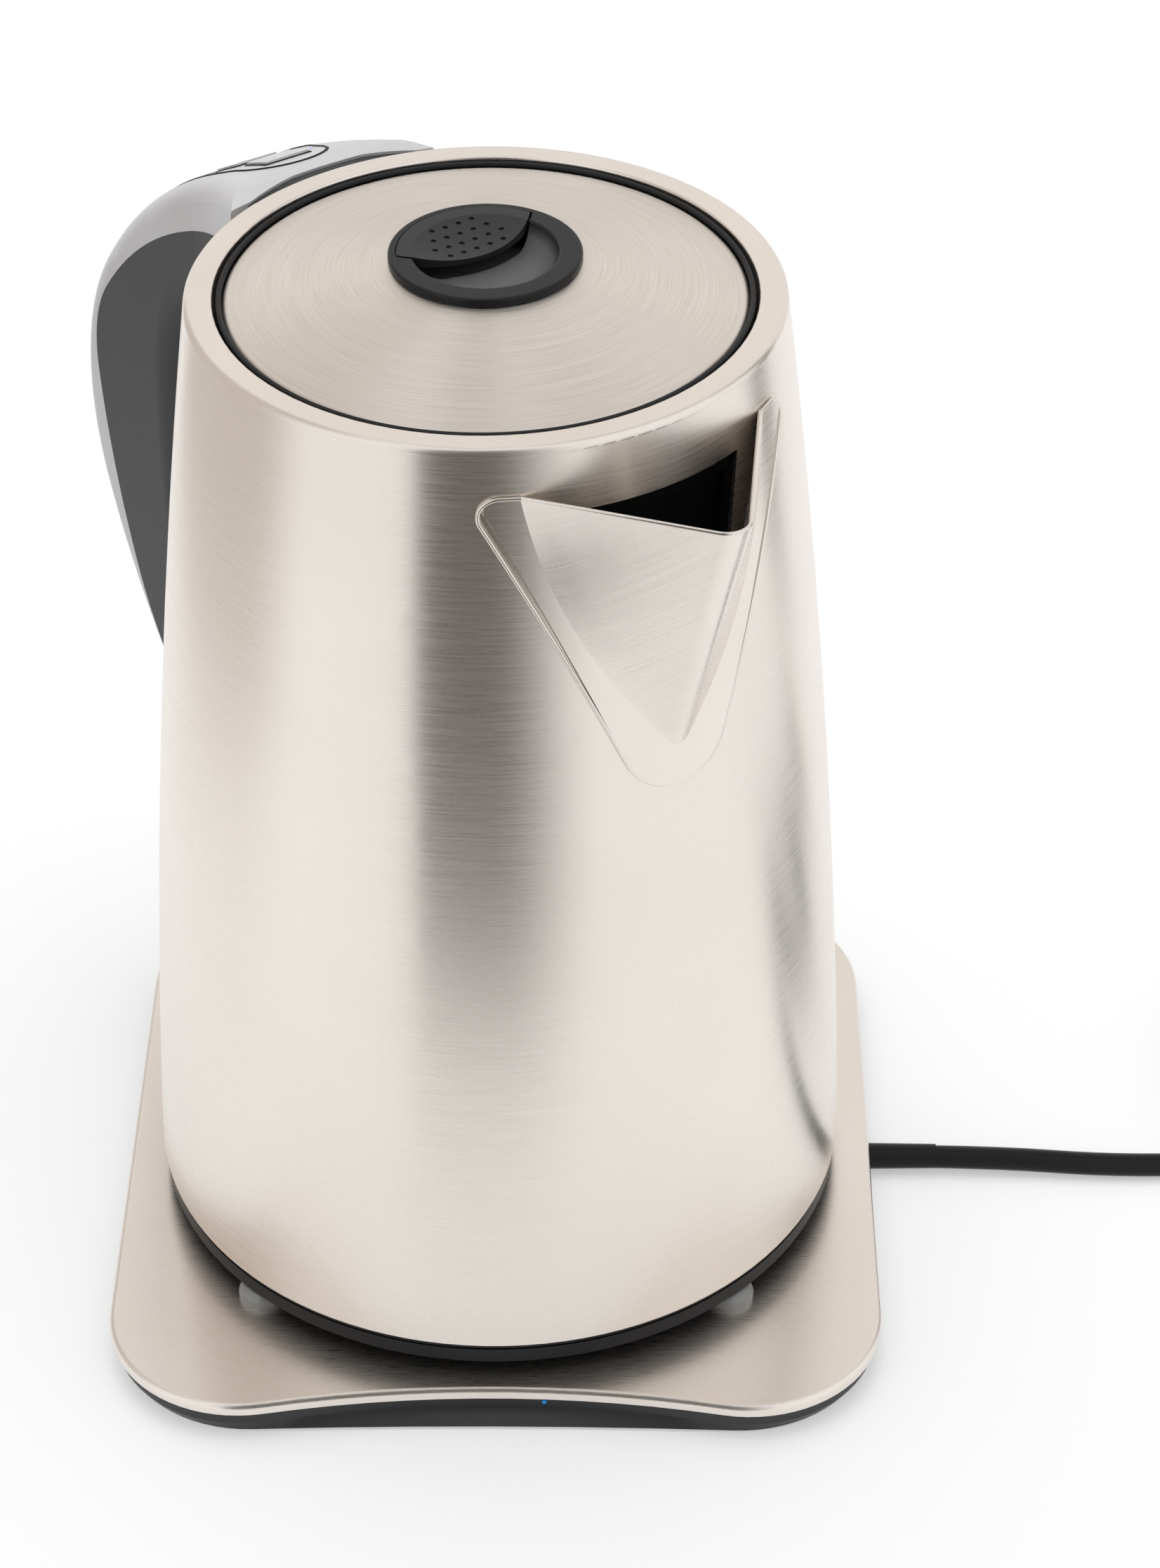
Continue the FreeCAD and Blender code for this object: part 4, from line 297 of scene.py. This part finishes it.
# Painted light: the bowl is the rim's plastic, made paler for the light it catches and to lift it out of the
# tab's shade.
BOWL_PAINTED_LIGHT = (0.098, 0.098, 0.100)
RIM = (0.012, 0.012, 0.013)
BOWL_EDGE = (0.0128, 0.0142)


def knob_finish():
    """Moulded knob of one plastic, its finger bowl painted paler than its rim: a painted highlight for the
    light that the matt bowl catches.
    """
    material = moulded("knob_plastic", RIM, 0.32, grain=0.0003, sheen=0.2)
    tree = material.node_tree
    radius = axis_parts(tree, object_coords(tree))[-1]
    outward = remap(tree, radius, 0.0, 1.0, *BOWL_EDGE)
    tone = two_colors(tree, outward, BOWL_PAINTED_LIGHT, RIM)
    tree.links.new(tone, tree.nodes["Principled BSDF"].inputs["Base Color"])
    return material


knob_plastic = knob_finish()

# Which node has which finish

FINISHES = {
    body_steel: ["body_shell"],
    spout_steel: ["spout"],
    lid_steel: ["lid_cap"],
    plate_steel: ["base_plate"],
    charcoal: ["handle_grip"],
    foot_black: ["foot_cover"],
    housing_grey: ["base_housing"],
    satin_black: ["release_tab"],
    knob_plastic: ["lid_knob"],
    black_plastic: ["base_bottom_cover", "connector_base", "connector_shutter", "kettle_connector",
                    "mouth_collar", "lid_body", "cord_clamp", "button_switches"],
    silver: ["handle_shell"],
    panel_grey: ["control_panel", "start_button", "temperature_button", "hold_button"],
    rubber: ["strain_relief", "plug_body", "base_wires", "handle_wires", "foot_ring"],
    gasket_rubber: ["handle_gasket", "lid_seal", "floor_seal"],
    clear_pad: ["glide_pads"],
    fixing_steel: ["base_screws", "foot_screws", "handle_screws", "lid_screws", "tab_pin",
                   "handle_brackets", "temperature_sensor", "latch_bolt"],
    hinge_painted_shade: ["hinge_bracket", "hinge_arm", "hinge_pin"],
    filter_dark_and_shade: ["filter_frame", "filter_mesh"],
    heater_steel: ["heating_plate", "lid_bottom"],
    aluminium: ["heat_diffuser", "heating_element"],
    brass: ["connector_contacts", "connector_blades", "plug_pins", "thermal_cutouts"],
    board_green: ["control_board"],
    blue_lens: ["pilot_light", "indicator_lights"],
}
for material, names in FINISHES.items():
    for name in names:
        nodes[name].data.materials.clear()
        nodes[name].data.materials.append(material)

# Rolled edge of the spout sheet: round the flange on the wall and along the pouring lip

WALL = ((0.075, 0.018), (0.069, 0.122), (0.05825, 0.226))
SPOUT_TOP = 0.218
FLANGE_HALF = 0.034
FLANGE_CORNER = 0.004
FLANGE_LEAN = 20
FLANGE_FOOT = 0.012
FLANGE_LOW = 0.151
FLANGE_OUT = 0.00055
LIP_ROOT = 0.026
NOSE_ANGLE = math.radians(38.2)
NOSE_RADIUS = 0.005
NOSE_REACH = 0.085
NOSE_SHEET = 0.0009
EDGE_RADIUS = 0.0004
ARC_STEPS = 10
SIDE_STEPS = 24


def wall_radius(height):
    """Radius of the steel wall at a height, on the circle through its three given points."""
    (ax, ay), (bx, by), (cx, cy) = WALL
    d = 2 * (ax * (by - cy) + bx * (cy - ay) + cx * (ay - by))
    aa, bb, cc = ax * ax + ay * ay, bx * bx + by * by, cx * cx + cy * cy
    x = (aa * (by - cy) + bb * (cy - ay) + cc * (ay - by)) / d
    y = (aa * (cx - bx) + bb * (ax - cx) + cc * (bx - ax)) / d
    return x + math.sqrt((ax - x) ** 2 + (ay - y) ** 2 - (height - y) ** 2)


def on_wall(across, height):
    """A point of the spout's flange, just outside the wall."""
    reach = wall_radius(height) + FLANGE_OUT
    return Vector((across, -math.sqrt(reach ** 2 - across ** 2), height))


def arc_points(centre, radius, start, end):
    """Points of an arc between two angles in degrees."""
    for step in range(ARC_STEPS + 1):
        angle = math.radians(start + (end - start) * step / ARC_STEPS)
        yield centre[0] + radius * math.cos(angle), centre[1] + radius * math.sin(angle)


nose_centre = NOSE_REACH - NOSE_RADIUS
nose_middle = NOSE_RADIUS - NOSE_SHEET / 2
nose_tx = nose_middle * math.cos(NOSE_ANGLE)
nose_ty = nose_centre + nose_middle * math.sin(NOSE_ANGLE)
lip_reach = math.sqrt(wall_radius(SPOUT_TOP) ** 2 - LIP_ROOT ** 2)
lip_half = nose_tx + (nose_ty - lip_reach) * math.tan(NOSE_ANGLE)
half_outline = [(lip_half, SPOUT_TOP)]
corner_centre = (FLANGE_HALF - FLANGE_CORNER, SPOUT_TOP - FLANGE_CORNER)
half_outline += arc_points(corner_centre, FLANGE_CORNER, 90, -FLANGE_LEAN)
foot_centre = (0.0, FLANGE_LOW + FLANGE_FOOT)
half_outline += arc_points(foot_centre, FLANGE_FOOT, -FLANGE_LEAN, -90)
dense = []
for (x0, z0), (x1, z1) in zip(half_outline, half_outline[1:]):
    count = SIDE_STEPS if abs(z1 - z0) > 2 * FLANGE_CORNER else 1
    dense += [(x0 + (x1 - x0) * step / count, z0 + (z1 - z0) * step / count) for step in range(count)]
flange_line = [on_wall(x, z) for x, z in dense]
flange_line += [on_wall(-x, z) for x, z in reversed(dense)]
lip_line = [Vector((-lip_half, -lip_reach, SPOUT_TOP))]
nose_turn = math.degrees(NOSE_ANGLE)
for across, along in arc_points((0.0, nose_centre), nose_middle, 180 - nose_turn, nose_turn):
    lip_line.append(Vector((across, -along, SPOUT_TOP)))
lip_line.append(Vector((lip_half, -lip_reach, SPOUT_TOP)))


def bead(name, lines, radius, material, body, closed=False):
    """Round beads along lists of points, as one piece on a body."""
    data = bpy.data.curves.new(name, "CURVE")
    data.dimensions = "3D"
    data.bevel_depth = radius
    data.bevel_resolution = 6
    data.use_fill_caps = True
    for spots in lines:
        spline = data.splines.new("POLY")
        spline.points.add(len(spots) - 1)
        spline.use_cyclic_u = closed
        for point, spot in zip(spline.points, spots):
            point.co = (*spot, 1)
    item = bpy.data.objects.new(name, data)
    scene.collection.objects.link(item)
    data.materials.append(material)
    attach(item, body)
    return item


bead("spout_edge", [flange_line, lip_line], EDGE_RADIUS, edge_steel, "kettle")

# Soft lip of the lid's seal in the gap between the lid's edge and the rim, near black and raised so that it
# also stands in as painted shade for the dark gap

LID_LIP_SHADE_RADIUS = 0.0514
LID_LIP_SHADE_HEIGHT = 0.2265
LID_LIP_SHADE_THICK = 0.0006
RING_STEPS = 240


def ring(radius, height, gap=0.0):
    """Points round the kettle's axis, with a gap in radians left open at the back."""
    spots = []
    for step in range(RING_STEPS):
        angle = math.pi / 2 + gap / 2 + (2 * math.pi - gap) * step / RING_STEPS
        spots.append(Vector((radius * math.cos(angle), radius * math.sin(angle), height)))
    return spots


lid_lip_and_gap_shade = ring(LID_LIP_SHADE_RADIUS, LID_LIP_SHADE_HEIGHT)
bead("lid_lip_and_gap_shade", [lid_lip_and_gap_shade], LID_LIP_SHADE_THICK, gap_shade_black, "lid", closed=True)

# Rolled outer edge of the rim, open at the hinge

RIM_ROLL = 0.00153
RIM_ROLL_RADIUS = 0.05672
RIM_ROLL_HEIGHT = 0.22598
HINGE_GAP = math.radians(40)
rim_roll = ring(RIM_ROLL_RADIUS, RIM_ROLL_HEIGHT, HINGE_GAP)
bead("rim_roll", [rim_roll], RIM_ROLL, body_steel, "kettle")

# Painted shade: dark beads along the gaps round the control panel and its buttons, drawing the shade in
# those gaps as dark lines

PANEL_NORMAL = Vector((0, 0.51317, 0.85829))
PANEL_FACING = 0.85
PANEL_LINE = 0.00028
BUTTON_LEAST = 0.004
SAME_SPOT = 1e-6


def edge_loops(mesh, normal, facing, least):
    """Closed lines round the faces of a mesh that look along a normal, if larger than least."""
    shape = bmesh.new()
    shape.from_mesh(mesh)
    away = [face for face in shape.faces if face.normal.dot(normal) < facing]
    bmesh.ops.delete(shape, geom=away, context="FACES")
    bmesh.ops.remove_doubles(shape, verts=shape.verts, dist=SAME_SPOT)
    left = {edge for edge in shape.edges if edge.is_boundary}
    loops = []
    while left:
        edge = left.pop()
        first, vert = edge.verts
        loop = [first.co.copy()]
        while vert is not first:
            loop.append(vert.co.copy())
            edge = next(other for other in vert.link_edges if other in left)
            left.remove(edge)
            vert = edge.other_vert(vert)
        if max((spot - loop[0]).length for spot in loop) > least:
            loops.append(loop)
    shape.free()
    return loops


panel = nodes["control_panel"].data
panel_loops = edge_loops(panel, PANEL_NORMAL, PANEL_FACING, BUTTON_LEAST)
bead("panel_gap_shade", panel_loops, PANEL_LINE, gap_shade_black, "kettle", closed=True)

# Domed end of the pilot light, under the front edge of the plate

DOME_SPOT = Vector((-0.0352, -0.07125, 0.0055))
DOME_RADIUS = 0.00055

dome_shape = bmesh.new()
bmesh.ops.create_uvsphere(dome_shape, u_segments=24, v_segments=12, radius=DOME_RADIUS)
dome_mesh = bpy.data.meshes.new("pilot_dome")
dome_shape.to_mesh(dome_mesh)
dome_shape.free()
dome_mesh.transform(Matrix.Translation(DOME_SPOT))
dome_mesh.shade_smooth()
dome_mesh.materials.append(blue_lens)
pilot_dome = bpy.data.objects.new("pilot_dome", dome_mesh)
scene.collection.objects.link(pilot_dome)
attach(pilot_dome, "base")

# Mains cord: the free stretch on the table and the put-away coil, on one line

CORD_RADIUS = 0.0026
EXIT_HEIGHT = 0.0034
JACKET_START = 0.0774
COIL_CENTRE = Vector((0.193, 0.033, 0))
COIL_LOW = 0.0032
COIL_RADIUS = 0.034
COIL_PITCH = 0.0059
COIL_LAYER = 0.0058
TURNS_IN = 2.0
TURNS_OUT = 1.75
COIL_TAIL = 0.035
CLIMB = 0.5
START_TURN = 0.25
POINTS_PER_TURN = 24


def coil_point(turn):
    """The coil's line: inward on the table, up through half a turn, and outward on top."""
    rise = 0.0
    radius = COIL_RADIUS - COIL_PITCH * turn
    if turn > TURNS_IN:
        climb = min(turn - TURNS_IN, CLIMB)
        radius = COIL_RADIUS - COIL_PITCH * (TURNS_IN + climb - 2 * climb ** 2)
        radius += COIL_PITCH * (turn - TURNS_IN - climb)
        rise = COIL_LAYER * (1 - math.cos(2 * math.pi * climb)) / 2
    angle = 2 * math.pi * (turn - START_TURN)
    spot = Vector((radius * math.cos(angle), radius * math.sin(angle), COIL_LOW + rise))
    return COIL_CENTRE + spot


cord_route = [
    Vector((JACKET_START, 0, EXIT_HEIGHT)),
    Vector((0.108, 0, EXIT_HEIGHT)),
    Vector((0.139, -0.0024, CORD_RADIUS)),
    Vector((0.168, -0.001, CORD_RADIUS)),
]
turn_steps = round((TURNS_IN + CLIMB + TURNS_OUT) * POINTS_PER_TURN)
for step in range(turn_steps + 1):
    cord_route.append(coil_point(step / POINTS_PER_TURN))
cord_route.append(cord_route[-1] + Vector((0, COIL_TAIL, 0)))

cord_curve = bpy.data.curves.new("mains_cord", "CURVE")
cord_curve.dimensions = "3D"
cord_curve.bevel_depth = CORD_RADIUS
cord_curve.bevel_resolution = 6
cord_curve.resolution_u = 6
cord_curve.use_fill_caps = True
cord_line = cord_curve.splines.new("NURBS")
cord_line.points.add(len(cord_route) - 1)
for point, spot in zip(cord_line.points, cord_route):
    point.co = (*(BASE @ spot), 1)
cord_line.order_u = 3
cord_line.use_endpoint_u = True
cord = bpy.data.objects.new("mains_cord", cord_curve)
scene.collection.objects.link(cord)
cord_curve.materials.append(rubber)
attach(cord, "base")
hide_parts("power_cord", "cord_coil")

# Tie round the coil

TIE_WIDTH = 0.007
TIE_SHEET = 0.0005
TIE_CORNER = 0.0018
TIE_INNER_ROOM = 0.0006
TIE_OUTER_ROOM = 0.0004
TIE_TOP_ROOM = 0.0003
CORNER_STEPS = 6


def strap(name, low, high, width, sheet, corner, along):
    """A band round a rounded rectangle in the base's YZ plane, centred on X at along."""
    mesh = bmesh.new()
    section = []
    centres = [(high[0] - corner, high[1] - corner, 0), (low[0] + corner, high[1] - corner, 90),
               (low[0] + corner, low[1] + corner, 180), (high[0] - corner, low[1] + corner, 270)]
    for cy, cz, start in centres:
        for step in range(CORNER_STEPS + 1):
            angle = math.radians(start + 90 * step / CORNER_STEPS)
            section.append((cy, cz, math.cos(angle), math.sin(angle)))
    rows = []
    half = width / 2
    for side, depth in ((-half, 0.0), (half, 0.0), (half, sheet), (-half, sheet)):
        reach = corner - depth
        rows.append([mesh.verts.new(BASE @ Vector((along + side, cy + reach * c, cz + reach * s)))
                     for cy, cz, c, s in section])
    count = len(section)
    for first, second in zip(rows, rows[1:] + rows[:1]):
        for i in range(count):
            j = (i + 1) % count
            mesh.faces.new((first[i], first[j], second[j], second[i]))
    bmesh.ops.recalc_face_normals(mesh, faces=mesh.faces)
    data = bpy.data.meshes.new(name)
    mesh.to_mesh(data)
    mesh.free()
    item = bpy.data.objects.new(name, data)
    scene.collection.objects.link(item)
    return item


coil_side = COIL_CENTRE.y + COIL_RADIUS
tie_low = coil_side - TURNS_IN * COIL_PITCH - CORD_RADIUS - TIE_INNER_ROOM - TIE_SHEET
tie_high = coil_side - COIL_PITCH / 2 + CORD_RADIUS + TIE_OUTER_ROOM + TIE_SHEET
tie_top = 2 * CORD_RADIUS + COIL_LAYER + 2 * TIE_SHEET + TIE_TOP_ROOM
tie = strap("coil_tie", (tie_low, 0.0), (tie_high, tie_top), TIE_WIDTH, TIE_SHEET, TIE_CORNER, COIL_CENTRE.x)
tie.data.materials.append(tie_fabric)
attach(tie, "base")
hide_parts("cord_tie")

# Stage: floor, world, lamps and the dark cards that the steel reflects

FLOOR_HALF = 4.0
FLOOR_GREY = (0.6, 0.6, 0.6)
FLOOR_GLOW = 0.40
WORLD_LIGHT = 0.75


def plane(name, corners):
    """A flat stage piece with four corners."""
    data = bpy.data.meshes.new(name)
    data.from_pydata([tuple(corner) for corner in corners], [], [(0, 1, 2, 3)])
    item = bpy.data.objects.new(name, data)
    scene.collection.objects.link(item)
    return item


def seen_directly(tree):
    """1 where a camera, glossy or transmitted ray arrives."""
    path = tree.nodes.new("ShaderNodeLightPath")
    either = math_node(tree, "MAXIMUM", path.outputs["Is Camera Ray"], path.outputs["Is Glossy Ray"])
    return math_node(tree, "MAXIMUM", either, path.outputs["Is Transmission Ray"])


floor = plane("floor", [(-FLOOR_HALF, -FLOOR_HALF, 0), (FLOOR_HALF, -FLOOR_HALF, 0),
                        (FLOOR_HALF, FLOOR_HALF, 0), (-FLOOR_HALF, FLOOR_HALF, 0)])
floor_paint, tree, shader = new_material("floor", FLOOR_GREY, 0.9)
shader.inputs["Specular IOR Level"].default_value = 0.0
shader.inputs["Emission Color"].default_value = (1, 1, 1, 1)
glow = math_node(tree, "MULTIPLY", seen_directly(tree), FLOOR_GLOW)
tree.links.new(glow, shader.inputs["Emission Strength"])
floor.data.materials.append(floor_paint)

world = bpy.data.worlds.new("studio")
world.use_nodes = True
scene.world = world
background = world.node_tree.nodes["Background"]
background.inputs["Color"].default_value = (1, 1, 1, 1)
shown = seen_directly(world.node_tree)
level = remap(world.node_tree, shown, WORLD_LIGHT, 1.0, 0.0, 1.0)
world.node_tree.links.new(level, background.inputs["Strength"])


def softbox(name, spot, target, size, power):
    data = bpy.data.lights.new(name, "AREA")
    data.shape = "RECTANGLE"
    data.size, data.size_y = size
    data.energy = power
    item = bpy.data.objects.new(name, data)
    item.location = spot
    item.rotation_euler = (Vector(target) - Vector(spot)).to_track_quat("-Z", "Y").to_euler()
    scene.collection.objects.link(item)
    return item


MIDDLE = (0, 0, 0.12)
LAMP_SPOT = (0.1, 0.25, 1.5)
LAMP_SIZE = (1.2, 1.2)
LAMP_POWER = 9.0
top_light = softbox("top_light", LAMP_SPOT, MIDDLE, LAMP_SIZE, LAMP_POWER)
top_light.visible_glossy = False

toward_camera = Vector((CAMERA_SPOT[0], CAMERA_SPOT[1], 0)).normalized()
to_right = Vector((-toward_camera.y, toward_camera.x, 0))


def around(angle, distance, height):
    """A point at an angle to the right of the camera's direction, seen from the kettle."""
    turn = math.radians(angle)
    flat = toward_camera * math.cos(turn) + to_right * math.sin(turn)
    return flat * distance + Vector((0, 0, height))


def card(name, corners, stops):
    """A card that only reflections show; stops are (share of its width, colour) pairs."""
    item = plane(name, corners)
    paint, tree, shader = new_material(name, (0, 0, 0), 1.0)
    shader.inputs["Specular IOR Level"].default_value = 0.0
    across = tree.nodes.new("ShaderNodeAttribute")
    across.attribute_name = "across"
    ramp = tree.nodes.new("ShaderNodeValToRGB")
    ramp.color_ramp.interpolation = "EASE"
    for share, _ in stops[2:]:
        ramp.color_ramp.elements.new(share)
    for element, (share, color) in zip(ramp.color_ramp.elements, sorted(stops)):
        element.position = share
        element.color = (*color, 1)
    tree.links.new(across.outputs["Fac"], ramp.inputs["Fac"])
    tree.links.new(ramp.outputs["Color"], shader.inputs["Emission Color"])
    shader.inputs["Emission Strength"].default_value = 1.0
    shares = item.data.attributes.new("across", "FLOAT", "POINT")
    for value, share in zip(shares.data, (0.0, 1.0, 1.0, 0.0)):
        value.value = share
    item.data.materials.append(paint)
    item.visible_camera = False
    item.visible_diffuse = False
    item.visible_shadow = False
    item.visible_transmission = False
    return item


def upright(start, end, distance, low, high):
    """Corners of an upright card between two angles round the kettle."""
    return [around(start, distance, low), around(end, distance, low),
            around(end, distance, high), around(start, distance, high)]


def overhead(start, end, near, far, height):
    """Corners of a level card between two angles round the kettle."""
    return [around(start, far, height), around(end, far, height),
            around(end, near, height), around(start, near, height)]


WHITE = (1.0, 1.0, 1.0)
DARK = (0.13, 0.12, 0.11)
GREY = (0.25, 0.23, 0.22)
WARM = (0.64, 0.59, 0.55)
PALE = (0.90, 0.87, 0.84)
CEILING = (0.50, 0.47, 0.44)
card("front_card", upright(-32, 30, 0.30, 0.0, 0.8),
     [(0.0, WHITE), (0.12, WHITE), (0.2, DARK), (0.52, DARK), (1.0, WHITE)])
card("left_card", upright(-140, -62, 0.42, 0.0, 1.0), [(0.0, WARM), (0.7, WARM), (1.0, WHITE)])
card("right_card", upright(102, 118, 0.40, 0.0, 0.8), [(0.0, WHITE), (0.3, GREY), (0.7, GREY), (1.0, WHITE)])
card("back_card", upright(110, 250, 1.6, 0.0, 1.5), [(0.0, PALE), (1.0, PALE)])
card("ceiling_right", overhead(110, 160, 0.25, 1.6, 1.5), [(0.0, WHITE), (0.5, CEILING), (1.0, CEILING)])
card("ceiling_left", overhead(173, 260, 0.25, 1.6, 1.5), [(0.0, CEILING), (0.6, CEILING), (1.0, WHITE)])
